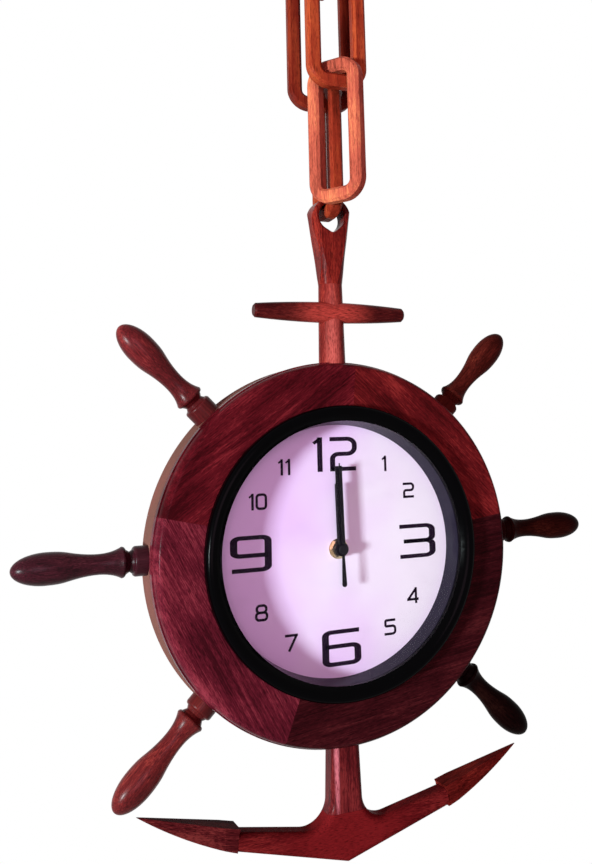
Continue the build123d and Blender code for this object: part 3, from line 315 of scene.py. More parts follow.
@dataclass(frozen=True)
class WoodPiece(Finish):
    """One piece cut from a board, with the place of its rings and the run of its grain."""

    SEED_SHIFT: ClassVar[Point] = (97.0, 31.0, 53.0)
    WANDER: ClassVar[Noise] = Noise((0.011, 0.04, 0.04))
    WANDER_REACH: ClassVar[float] = 16.0
    FIGURE: ClassVar[Noise] = Noise((0.014, 0.13, 0.13), 3.0, 0.55, 0.7)
    SWIRL_WARP: ClassVar[float] = 0.03
    FIBRE: ClassVar[Noise] = Noise((0.022, 1.5, 1.5), 4.0, 0.7, 0.5)
    FINE: ClassVar[Noise] = Noise((0.30, 2.4, 2.4), 2.0, 0.6)
    CLOUD: ClassVar[Noise] = Noise((0.022, 0.045, 0.045))
    PORE: ClassVar[Noise] = Noise((0.17, 1.7, 1.7), 1.0, 0.4)
    OPEN_PORE: ClassVar[Tuple[float, float]] = (0.60, 0.68)
    PORE_SHADE: ClassVar[float] = 0.35
    DARK_TO_MIDDLE: ClassVar[Tuple[float, float]] = (0.12, 0.52)
    MIDDLE_TO_LIGHT: ClassVar[Tuple[float, float]] = (0.50, 0.95)
    RELIEF_DEPTH: ClassVar[float] = 0.08 * MM
    RELIEF_STRENGTH: ClassVar[float] = 0.30

    tone: WoodTone
    centre: Point
    turn: Point
    pith: Tuple[float, float]
    seed: float
    swirl: float = 0.0

    def shade(self, tree: ShaderTree) -> None:
        """Builds the wood: uneven rings, fibres, pores, a soft cloudiness and varnish.

        Args:
            tree: The material's nodes.
        """
        tone = self.tone
        shift = tuple(self.seed * share for share in self.SEED_SHIFT)
        space = tree.grain_space(self.centre, self.turn)
        place = tree.node("ShaderNodeVectorMath", {"operation": "ADD"}, {0: space, 1: shift})
        _, across, deep = tree.axes(place)
        wander = tree.noise(place, self.WANDER).swing(self.WANDER_REACH + self.swirl)
        side = across - (self.pith[0] + shift[1]) + wander
        depth = deep - (self.pith[1] + shift[2])
        age = (side * side + depth * depth).root() / tone.ring_spacing
        ring = tree.node("ShaderNodeTexNoise", {"noise_dimensions": "1D"},
                         {"W": age, "Scale": 1.0, "Detail": 2.0, "Roughness": 0.55}, "Fac")
        figure = tree.noise(place, self.FIGURE, self.swirl * self.SWIRL_WARP)
        fibre = tree.noise(place, self.FIBRE)
        fine = tree.noise(place, self.FINE)
        cloud = tree.noise(place, self.CLOUD)
        pore = tree.noise(place, self.PORE).step(*self.OPEN_PORE)
        grain = (ring.swing(tone.ring) + (fibre * 0.55 + fine * 0.45).swing(tone.streak)
                 + (cloud * 0.65 + figure * 0.35).swing(tone.cloud) + Wire.MIDDLE)
        body = tree.mix(grain.step(*self.DARK_TO_MIDDLE), tone.dark, tone.middle)
        body = tree.mix(grain.step(*self.MIDDLE_TO_LIGHT), body, tone.light)
        body = tree.mix(pore * tone.pores, body, times(tone.dark, self.PORE_SHADE))
        # painted light that some pieces add, and the roughness that comes with it
        body, dull = self.painted_light(tree, body, fine)
        tree.relief(fibre * 0.5 + fine * 0.3 - pore * 0.7, self.RELIEF_DEPTH, self.RELIEF_STRENGTH)
        rough = tone.roughness + fine.swing(0.16) + pore * 0.14 + cloud.swing(0.12) + dull
        tree.finish(Base_Color=body, Roughness=rough, Specular_IOR_Level=tone.gloss)

    def painted_light(self, tree: ShaderTree, body: Wire, fine: Wire) -> Tuple[Wire, Union[Wire, float]]:
        """The colour with painted light and the roughness added with it, which plain pieces don't have."""
        return body, 0.0


@dataclass(frozen=True, kw_only=True)
class PaintedLightWood(WoodPiece):
    """A piece with painted light round one place: a painted highlight in a paler colour, painted shade in a
    darker one.
    """

    EDGE: ClassVar[Tuple[float, float]] = (0.25, 1.0)
    PATCHES: ClassVar[Tuple[float, float]] = (3.0, 0.75)
    LEAST: ClassVar[float] = 0.1

    painted_colour: Colour
    spot: Point
    reach: float
    narrow: float = 1.0

    def painted_light(self, tree: ShaderTree, body: Wire, fine: Wire) -> Tuple[Wire, Union[Wire, float]]:
        """Paints the given colour round the place, as painted light.

        Args:
            tree: The material's nodes.
            body: The clean wood's colour.
            fine: Fine noise along the grain.

        Returns:
            The colour with painted light and the roughness that it adds.
        """
        across, deep, up = tree.axes(tree.grain_space(self.spot))
        across = across * self.narrow
        away = (across * across + deep * deep + up * up).root() / self.reach
        near = 1.0 - away.step(*self.EDGE)
        patchy = (fine * self.PATCHES[0] - self.PATCHES[1]).most(self.LEAST).least(1.0)
        # painted light: the given colour laid round the place, broken up by fine noise
        return tree.mix(near * patchy, body, self.painted_colour), 0.0


@dataclass(frozen=True, kw_only=True)
class RimWood(WoodPiece):
    """A board of the rim, whose outer wall behind the moulding is painted paler as a painted sheen, and is
    rougher.
    """

    DULLNESS: ClassVar[float] = 0.6

    axis: Point
    wall_radius: float = 119.0
    wall_depth: float = 13.0
    # the colour of the painted sheen on the outer wall
    wall: Colour = (0.220, 0.105, 0.078)

    def painted_light(self, tree: ShaderTree, body: Wire, fine: Wire) -> Tuple[Wire, Union[Wire, float]]:
        """Paints a paler sheen on the outer wall and dulls it.

        Args:
            tree: The material's nodes.
            body: The clean wood's colour.
            fine: Fine noise along the grain.

        Returns:
            The colour with the painted sheen, and the roughness added on the wall.
        """
        # painted sheen: the wall is paler where grazing reflection and lamp light would brighten it, with a
        # little noise
        across, deep, up = tree.axes(tree.grain_space(self.axis))
        outside = (across * across + up * up).root().step(self.wall_radius - 0.5, self.wall_radius + 0.4)
        sheen_mask = outside * deep.step(self.wall_depth - 1.0, self.wall_depth + 2.0)
        return tree.mix(sheen_mask * (0.35 + fine * 0.6), body, self.wall), sheen_mask * self.DULLNESS


@dataclass(frozen=True)
class MouldedPlastic(Finish):
    """Moulded plastic with a faint flow texture and fine wear."""

    FLOW: ClassVar[Noise] = Noise((0.05, 0.05, 0.05), 3.0, 0.55)
    SPECKLE: ClassVar[Noise] = Noise((1.6, 1.6, 1.6), 2.0, 0.6)
    WEAR: ClassVar[Noise] = Noise((0.9, 0.12, 0.9))
    RELIEF_DEPTH: ClassVar[float] = 0.02 * MM

    colour: Colour
    roughness: float
    grain: float = 1.0
    gloss: float = 0.4

    def shade(self, tree: ShaderTree) -> None:
        """Builds the plastic.

        Args:
            tree: The material's nodes.
        """
        place = tree.grain_space()
        flow = tree.noise(place, self.FLOW)
        speckle = tree.noise(place, self.SPECKLE)
        wear_and_highlights = tree.noise(place, self.WEAR).step(0.62, 0.76)
        tint = tree.mix(flow.step(0.35, 0.7) * 0.35, self.colour, times(self.colour, 1.6))
        rough = self.roughness + flow.swing(0.10) + wear_and_highlights * 0.10 + speckle.swing(0.08) * self.grain
        tree.relief(speckle, self.RELIEF_DEPTH, 0.25 * self.grain)
        tree.finish(Base_Color=tint, Roughness=rough, Specular_IOR_Level=self.gloss)


@dataclass(frozen=True)
class Metal(Finish):
    """Metal with a brushed or turned grain and slight tarnish."""

    STAIN: ClassVar[Noise] = Noise((0.25, 0.25, 0.25), 3.0, 0.55)
    TARNISH_LIGHT: ClassVar[float] = 3.0
    RELIEF_DEPTH: ClassVar[float] = 0.02 * MM

    colour: Colour
    roughness: float
    brush: Point = (0.3, 3.0, 3.0)
    tarnish: Colour = (0.20, 0.15, 0.10)

    def shade(self, tree: ShaderTree) -> None:
        """Builds the metal.

        Args:
            tree: The material's nodes.
        """
        place = tree.grain_space()
        brushed = tree.noise(place, Noise(self.brush, 3.0, 0.6))
        stain_and_shade = tree.noise(place, self.STAIN).step(0.52, 0.75)
        stained_and_shaded = tuple(a * b * self.TARNISH_LIGHT for a, b in zip(self.colour, self.tarnish))
        tint = tree.mix(stain_and_shade * 0.5, self.colour, stained_and_shaded)
        tree.relief(brushed, self.RELIEF_DEPTH, 0.3)
        tree.finish(Base_Color=tint, Metallic=1.0,
                    Roughness=self.roughness + brushed.swing(0.22) + stain_and_shade * 0.12)


@dataclass(frozen=True)
class DialPaper(Finish):
    """The dial's printed white sheet, with a faint lilac cast, painted lilac shade on its left and at its
    edge, and paper tooth.
    """

    CLOUD: ClassVar[Noise] = Noise((0.018, 0.018, 0.018))
    TOOTH: ClassVar[Noise] = Noise((3.0, 3.0, 3.0), 2.0, 0.6)
    RELIEF_DEPTH: ClassVar[float] = 0.02 * MM
    ROUGHNESS: ClassVar[float] = 0.42

    centre: Point
    white: Colour
    lilac: Colour
    radius: float

    def shade(self, tree: ShaderTree) -> None:
        """Builds the sheet, with painted lilac shade on its left and at its edge.

        Args:
            tree: The material's nodes.
        """
        place = tree.grain_space(self.centre)
        across, _, up = tree.axes(place)
        cloud = tree.noise(place, self.CLOUD)
        tooth = tree.noise(place, self.TOOTH)
        # painted shade: lilac towards the left, top and bottom, where the bezel's shadow and penumbra fall,
        # white on the right
        slant = across / self.radius * 0.5 + 0.5 + cloud.swing(0.9) - (up / self.radius).size() * 0.25
        # painted shade: lilac towards the edge, in the bezel's recess
        edge = ((across * across + up * up).root() / self.radius).step(0.86, 1.0)
        sheet = tree.mix(slant.step(0.05, 0.80), self.lilac, self.white)
        sheet = tree.mix(edge * 0.25, sheet, self.lilac)
        sheet = tree.mix(tooth.swing(0.10) + 0.05, sheet, times(self.lilac, 0.8))
        tree.relief(tooth, self.RELIEF_DEPTH, 0.15)
        tree.finish(Base_Color=sheet, Roughness=self.ROUGHNESS + tooth.swing(0.15))


@dataclass(frozen=True)
class ClearLens(Finish):
    """The clear front glass: nearly all see-through, with a faint tint and sheen."""

    SEE_THROUGH: ClassVar[bool] = True
    SMEAR: ClassVar[Noise] = Noise((0.03, 0.03, 0.05), 3.0, 0.6)

    tint: Colour = (0.05, 0.04, 0.07)
    cover: float = 0.03
    roughness: float = 0.03
    index: float = 1.5

    def shade(self, tree: ShaderTree) -> None:
        """Builds the glass.

        Args:
            tree: The material's nodes.
        """
        smear = tree.noise(tree.grain_space(), self.SMEAR).step(0.45, 0.8)
        tree.finish(Base_Color=self.tint, Roughness=self.roughness + smear * 0.06,
                    Alpha=self.cover + smear * 0.02, IOR=self.index)


@dataclass(frozen=True)
class PrintInk(Finish):
    """Printed ink: nearly black, with a plum cast and slightly uneven cover."""

    COVER: ClassVar[Noise] = Noise((2.4, 2.4, 2.4), 3.0, 0.6)

    colour: Colour = (0.010, 0.004, 0.012)
    roughness: float = 0.38
    gloss: float = 0.03

    def shade(self, tree: ShaderTree) -> None:
        """Builds the ink.

        Args:
            tree: The material's nodes.
        """
        cover = tree.noise(tree.grain_space(), self.COVER)
        tint = tree.mix(cover.step(0.35, 0.75) * 0.5, self.colour, times(self.colour, 1.8))
        tree.finish(Base_Color=tint, Roughness=self.roughness + cover.swing(0.2),
                    Specular_IOR_Level=self.gloss)


@dataclass(frozen=True)
class CellJacket(Finish):
    """A cell's plain printed jacket: a band at one end and bare metal at both faces."""

    SPECKLE: ClassVar[Noise] = Noise((0.6, 0.6, 0.6), 3.0, 0.6)
    BAND: ClassVar[Tuple[float, float]] = (0.34, 0.36)
    BARE: ClassVar[Tuple[float, float]] = (0.965, 0.975)
    STEEL: ClassVar[Colour] = (0.62, 0.62, 0.60)

    body: Colour
    band: Colour
    half_length: float
    middle: float

    def shade(self, tree: ShaderTree) -> None:
        """Builds the jacket.

        Args:
            tree: The material's nodes.
        """
        place = tree.grain_space()
        along = (tree.axes(place)[0] - self.middle) / self.half_length
        bare = along.size().step(*self.BARE)
        speckle = tree.noise(place, self.SPECKLE)
        paint = tree.mix(along.step(*self.BAND), self.body, self.band)
        paint = tree.mix(speckle.step(0.55, 0.8) * 0.25, paint, times(self.body, 0.6))
        tree.finish(Base_Color=tree.mix(bare, paint, self.STEEL), Metallic=bare * 0.9,
                    Roughness=0.30 + speckle.swing(0.15))


@dataclass(frozen=True)
class CoilWire(Finish):
    """A copper winding: fine turns across the coil."""

    UNEVEN: ClassVar[Noise] = Noise((0.8, 0.8, 0.8))
    RELIEF_DEPTH: ClassVar[float] = 0.06 * MM

    colour: Colour = (0.52, 0.20, 0.08)
    pitch: float = 0.28

    def shade(self, tree: ShaderTree) -> None:
        """Builds the winding.

        Args:
            tree: The material's nodes.
        """
        place = tree.grain_space()
        turns = (tree.axes(place)[0] * (math.tau / self.pitch)).wave() * 0.5 + 0.5
        uneven = tree.noise(place, self.UNEVEN)
        # painted shade: darker in the grooves between the turns
        tint = tree.mix((1.0 - turns) * 0.7, self.colour, times(self.colour, 0.35))
        tree.relief(turns + uneven * 0.3, self.RELIEF_DEPTH, 0.6)
        tree.finish(Base_Color=tint, Metallic=0.7, Roughness=0.32 + uneven * 0.12)


@dataclass(frozen=True)
class CircuitLaminate(Finish):
    """A green circuit laminate with paler tracks under lacquer."""

    WIGGLE: ClassVar[Noise] = Noise((0.18, 0.18, 0.18), 1.0, 0.4)
    WEAVE: ClassVar[float] = 9.0
    RELIEF_DEPTH: ClassVar[float] = 0.03 * MM

    colour: Colour = (0.02, 0.12, 0.05)
    tracks: Colour = (0.10, 0.22, 0.08)

    def shade(self, tree: ShaderTree) -> None:
        """Builds the laminate.

        Args:
            tree: The material's nodes.
        """
        place = tree.grain_space()
        across, _, up = tree.axes(place)
        wiggle = tree.noise(place, self.WIGGLE)
        track = ((up * 1.1 + wiggle.swing(9.0)) * math.pi).wave().step(0.55, 0.75)
        weave = (across * self.WEAVE).wave() * (up * self.WEAVE).wave()
        tint = tree.mix(track * 0.6, self.colour, self.tracks)
        tint = tree.mix(weave * 0.08 + 0.08, tint, times(self.colour, 0.5))
        tree.relief(track, self.RELIEF_DEPTH, 0.5)
        tree.finish(Base_Color=tint, Roughness=0.28 + wiggle.swing(0.1))


def middle_of(node: str) -> Vector:
    """The middle of a CAD node's box."""
    low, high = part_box(node)
    return (low + high) / 2


@dataclass
class SubAssembly:
    """A group of CAD nodes that are dressed together."""

    nodes: Dict[str, bpy.types.Object]

    def put_on(self, label: str, finish: Finish, *names: str) -> None:
        """Gives CAD nodes a finish in place of their plain material.

        Args:
            label: The material's name.
            finish: The finish.
            names: The nodes.
        """
        material = finish.material(label)
        for name in names:
            slots = self.nodes[name].data.materials
            slots.clear()
            slots.append(material)
            LOG.info("dressed %s with %s", name, label)

    def build(self) -> None:
        """Adds the pieces that the CAD doesn't have, of which most sub-assemblies have none."""


# Wooden sub-assemblies


@dataclass(frozen=True)
class Cut:
    """Where a row of pieces is cut: the first one's pith and seed, and the steps to the next."""

    pith: Tuple[float, float]
    pith_step: Tuple[float, float]
    seed: float
    seed_step: float

    def wood(self, order: int, name: str, angle: float, tone: WoodTone) -> Dict[str, object]:
        """The wood of one piece of the row.

        Args:
            order: The piece's place in the row.
            name: Its node.
            angle: The run of its grain in the front view, in degrees counter-clockwise from +X.
            tone: Its kind of wood.

        Returns:
            The fields of a WoodPiece.
        """
        pith = tuple(first + step * order for first, step in zip(self.pith, self.pith_step))
        return {"tone": tone, "centre": tuple(middle_of(name)), "turn": (0.0, -math.radians(angle), 0.0),
                "pith": pith, "seed": self.seed + self.seed_step * order}


class RimBoard(Enum):
    """The four boards of the rim, each with the name of its node."""

    UPPER_RIGHT = "rim_board_upper_right"
    UPPER_LEFT = "rim_board_upper_left"
    LOWER_LEFT = "rim_board_lower_left"
    LOWER_RIGHT = "rim_board_lower_right"


@dataclass
class WheelRim(SubAssembly):
    """The glued-up rim: four boards, each with grain along its own chord, in millimetres and degrees."""

    boards: Dict[RimBoard, Tuple[float, Colour]] = field(default_factory=lambda: {
        RimBoard.UPPER_RIGHT: (46.5, srgb(90, 18, 21)), RimBoard.UPPER_LEFT: (126.0, srgb(78, 13, 21)),
        RimBoard.LOWER_LEFT: (208.0, srgb(83, 20, 32)), RimBoard.LOWER_RIGHT: (278.0, srgb(50, 10, 15))})
    cut: Cut = Cut((-60.0, 30.0), (20.0, 9.0), 1.0, 1.7)
    swirl: float = 6.0
    figured: RimBoard = RimBoard.LOWER_LEFT
    figured_swirl: float = 22.0
    joints: Tuple[float, ...] = (8.0, 85.0, 167.0, 249.0)
    bore: float = 88.0
    radius: float = 120.0
    step: float = 0.8
    moulding: Tuple[float, float] = (4.0, 7.4)
    moulding_segments: int = 6
    glue: float = 0.07
    inset: float = 0.12
    dried_glue: MouldedPlastic = MouldedPlastic((0.006, 0.002, 0.002), 0.6, gloss=0.05)

    def build(self) -> None:
        """Fills the joints between the boards with thin dark lines of glue."""
        first = self._sheet()
        first.data.materials.append(self.dried_glue.material("dark_glue"))
        for order, angle in enumerate(self.joints):
            if order:
                bpy.ops.object.select_all(action="DESELECT")
                first.select_set(True)
                bpy.context.view_layer.objects.active = first
                bpy.ops.object.duplicate()
            line = bpy.context.object
            line.name = f"glue_line_{order + 1}"
            turn = math.radians(angle - (self.joints[0] if order else 0.0))
            bpy.ops.object.mode_set(mode="EDIT")
            bpy.ops.mesh.select_all(action="SELECT")
            bpy.ops.transform.rotate(value=turn, orient_axis="Y", center_override=(0.0, 0.0, WHEEL_Z))
            bpy.ops.object.mode_set(mode="OBJECT")
            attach(line, "clock")
            LOG.info("glued %s", line.name)

    def _sheet(self) -> bpy.types.Object:
        """Models a sheet of glue as large as the rim's section, straight to the right of the wheel's axis.

        Returns:
            The sheet.
        """
        low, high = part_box(RimBoard.LOWER_RIGHT.value)
        depth = (high.y - low.y) / MM - 2 * self.inset
        width = self.radius - self.step - self.bore - 2 * self.inset
        bpy.ops.object.select_all(action="DESELECT")
        bpy.ops.mesh.primitive_plane_add(size=MM, location=ORIGIN)
        sheet = bpy.context.object
        bpy.ops.object.mode_set(mode="EDIT")
        bpy.ops.mesh.select_all(action="SELECT")
        bpy.ops.transform.resize(value=(width, depth, 1.0), center_override=ORIGIN)
        middle = ((self.bore + self.inset + width / 2) * MM, low.y + (self.inset + depth / 2) * MM,
                  WHEEL_Z - self.glue / 2 * MM)
        bpy.ops.transform.translate(value=middle)
        self._round_front_corner(sheet, low.y + self.inset * MM)
        bpy.ops.mesh.select_all(action="SELECT")
        bpy.ops.mesh.extrude_region_move(TRANSFORM_OT_translate={"value": (0.0, 0.0, self.glue * MM)})
        bpy.ops.mesh.select_all(action="SELECT")
        bpy.ops.mesh.normals_make_consistent(inside=False)
        bpy.ops.object.mode_set(mode="OBJECT")
        return sheet

    def _round_front_corner(self, sheet: bpy.types.Object, front: float) -> None:
        """Rounds the sheet's corner to the quarter-round of the rim's moulding.

        Args:
            sheet: The sheet, in edit mode.
            front: The depth of the sheet's front edge.
        """
        mesh = bmesh.from_edit_mesh(sheet.data)
        corner = min(mesh.verts, key=lambda v: v.co.y - v.co.x)
        bpy.ops.mesh.select_all(action="DESELECT")
        bpy.ops.mesh.select_mode(type="VERT")
        corner.select_set(True)
        bmesh.update_edit_mesh(sheet.data)
        across, deep = self.moulding
        bpy.ops.mesh.bevel(offset=across * MM, affect="VERTICES", segments=self.moulding_segments)
        bpy.ops.transform.resize(value=(1.0, deep / across, 1.0), center_override=(0.0, front, 0.0))

    def dress(self) -> None:
        """Gives each board its own wood, which runs square to the board's middle angle."""
        low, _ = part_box(RimBoard.LOWER_RIGHT.value)
        hub = middle_of("dial")
        for order, (board, (angle, colour)) in enumerate(self.boards.items()):
            wood = self.cut.wood(order, board.value, angle - 90.0, WoodTone.around(colour))
            swirl = self.figured_swirl if board is self.figured else self.swirl
            piece = RimWood(**wood, swirl=swirl, axis=(hub.x, low.y, hub.z))
            self.put_on(f"wood_{board.value}", piece, board.value)


@dataclass
class SpokeHandles(SubAssembly):
    """The six turned handles, each with its angle, its colour and the share of that colour kept as painted
    shade at its boss.
    """

    roughness: float = 0.27
    lit_gloss: float = 0.08
    shaded_gloss: float = 0.008
    hub: Point = (0.0, 0.020, WHEEL_Z)
    boss_radius: float = 0.122
    boss_reach: float = 21.0
    cut: Cut = Cut((9.0, 6.0), (-3.0, 2.0), 3.0, 2.3)
    turnings: Dict[str, Tuple[float, Colour, float]] = field(default_factory=lambda: {
        "handle_right": (0.3, srgb(32, 5, 4), 1.0),
        "handle_upper_right": (45.8, srgb(76, 23, 18), 0.9),
        "handle_upper_left": (134.5, srgb(90, 22, 25), 0.36),
        "handle_left": (180.4, srgb(52, 14, 23), 0.8),
        "handle_lower_left": (225.3, srgb(88, 22, 23), 0.42),
        "handle_lower_right": (315.5, srgb(16, 3, 3), 1.0)})

    def dress(self) -> None:
        """Gives each handle wood that runs along it, with painted shade at its boss on the rim."""
        across, deep, up = self.hub
        for order, (name, (angle, colour, boss_shade)) in enumerate(self.turnings.items()):
            right, top = math.cos(math.radians(angle)), math.sin(math.radians(angle))
            gloss = self.lit_gloss if right < 0.0 else self.shaded_gloss
            tone = WoodTone.around(colour, roughness=self.roughness, gloss=gloss)
            boss = (across + self.boss_radius * right, deep, up + self.boss_radius * top)
            # painted shade: the colour darkened round the boss, where the handle meets the rim
            piece = PaintedLightWood(**self.cut.wood(order, name, angle, tone), painted_colour=times(colour, boss_shade),
                              spot=boss, reach=self.boss_reach)
            self.put_on(f"wood_{name}", piece, name)


@dataclass(frozen=True)
class PaintedHighlight:
    """A painted highlight on a piece's front: its height is a share, and the rest is in millimetres."""

    colour: Colour
    height: float
    aside: float
    reach: float
    narrow: float = 1.0

    def on(self, name: str) -> Dict[str, object]:
        """The place on one piece.

        Args:
            name: The piece's node.

        Returns:
            The fields that PaintedLightWood adds.
        """
        low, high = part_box(name)
        spot = ((low.x + high.x) / 2 + self.aside * MM, low.y, low.z + (high.z - low.z) * self.height)
        return {"painted_colour": self.colour, "spot": spot, "reach": self.reach, "narrow": self.narrow}


@dataclass
class Anchor(SubAssembly):
    """The anchor: eye, shank, stock, crown and flukes, each with the run of its grain and its colour."""

    roughness: float = 0.25
    streak: float = 2.6
    flat_gloss: float = 0.001
    round_gloss: float = 0.03
    turned: Tuple[str, ...] = ("anchor_eye", "anchor_upper_shank", "anchor_stock", "anchor_lower_shank")
    cut: Cut = Cut((14.0, 11.0), (-5.0, 0.0), 20.0, 1.9)
    runs: Dict[str, Tuple[float, Colour]] = field(default_factory=lambda: {
        "anchor_eye": (90.0, srgb(98, 21, 18)), "anchor_upper_shank": (90.0, srgb(116, 32, 28)),
        "anchor_stock": (0.0, srgb(62, 12, 13)), "anchor_lower_shank": (90.0, srgb(78, 17, 21)),
        "anchor_crown": (0.0, srgb(78, 14, 17)), "fluke_left": (168.0, srgb(68, 17, 20)),
        "fluke_right": (12.0, srgb(94, 23, 20))})
    # painted highlights: paler streaks on the shanks and paler middles on the stock and crown, where lamp
    # light would shine
    wear_and_highlights: Dict[str, PaintedHighlight] = field(default_factory=lambda: {
        "anchor_upper_shank": PaintedHighlight(srgb(190, 88, 78), 0.0, -1.5, 92.0, 12.0),
        "anchor_stock": PaintedHighlight(srgb(178, 64, 54), 0.5, 0.0, 34.0),
        "anchor_crown": PaintedHighlight(srgb(112, 24, 26), 0.5, 0.0, 60.0),
        "anchor_lower_shank": PaintedHighlight(srgb(190, 104, 112), 0.55, -7.0, 50.0, 26.0)})

    def dress(self) -> None:
        """Gives each piece wood along its own length, with painted highlights on the shanks, stock and crown.
        """
        for order, (name, (angle, colour)) in enumerate(self.runs.items()):
            gloss = self.round_gloss if name in self.turned else self.flat_gloss
            tone = WoodTone.around(colour, roughness=self.roughness, gloss=gloss, streak=self.streak)
            wood = self.cut.wood(order, name, angle, tone)
            wear_and_highlights = self.wear_and_highlights.get(name)
            piece = PaintedLightWood(**wood, **wear_and_highlights.on(name)) if wear_and_highlights else WoodPiece(**wood)
            self.put_on(f"wood_{name}", piece, name)


@dataclass
class Chain(SubAssembly):
    """The chain's links, in three shades of wood, and painted shade on the right of the rear one."""

    pale: WoodTone = WoodTone.around(srgb(180, 84, 64), 0.42, 1.5, roughness=0.40, streak=2.0, pores=0.5)
    brown: WoodTone = WoodTone.around(srgb(140, 47, 29), 0.45, 1.6, roughness=0.38, streak=1.8, pores=0.5)
    dark: WoodTone = WoodTone.around(srgb(108, 31, 20), 0.45, 1.6, roughness=0.36, streak=1.8, pores=0.5)
    cut: Cut = Cut((24.0, 16.0), (-6.0, 0.0), 40.0, 2.1)
    upright: float = 90.0
    # painted shade: the rear link darkened on its right, where it lies in shade behind the links in front;
    # the others get a 1 mm fleck of it
    stained_and_shaded: str = "chain_rear_link"
    stain_and_shade: Colour = srgb(62, 12, 6)
    shade_reach: float = 26.0
    fleck_reach: float = 1.0

    def dress(self) -> None:
        """Gives each link wood along the chain, painted shade on the right of the rear link, and a fleck of
        it to the others.
        """
        shades = {"chain_end_link": self.pale, "chain_front_link": self.brown, "chain_eye_link": self.brown,
                  "chain_rear_link": self.dark, "chain_top_link": self.brown}
        for order, (name, tone) in enumerate(shades.items()):
            wood = self.cut.wood(order, name, self.upright, tone)
            _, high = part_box(name)
            spot = (high.x, *wood["centre"][1:])
            reach = self.shade_reach if name == self.stained_and_shaded else self.fleck_reach
            piece = PaintedLightWood(**wood, painted_colour=self.stain_and_shade, spot=spot, reach=reach)
            self.put_on(f"wood_{name}", piece, name)


# Printed numerals


@dataclass(frozen=True)
class Run:
    """A straight move of the pen."""

    length: float


@dataclass(frozen=True)
class Turn:
    """A round corner of the pen: degrees, counter-clockwise where positive, about a radius."""

    angle: float
    radius: float


Path = Tuple[Union[Run, Turn], ...]


@dataclass(frozen=True)
class Stroke:
    """One stroke of the pen: where it starts, where it heads and how it moves."""

    start: Tuple[float, float]
    heading: float
    moves: Path
    width: float


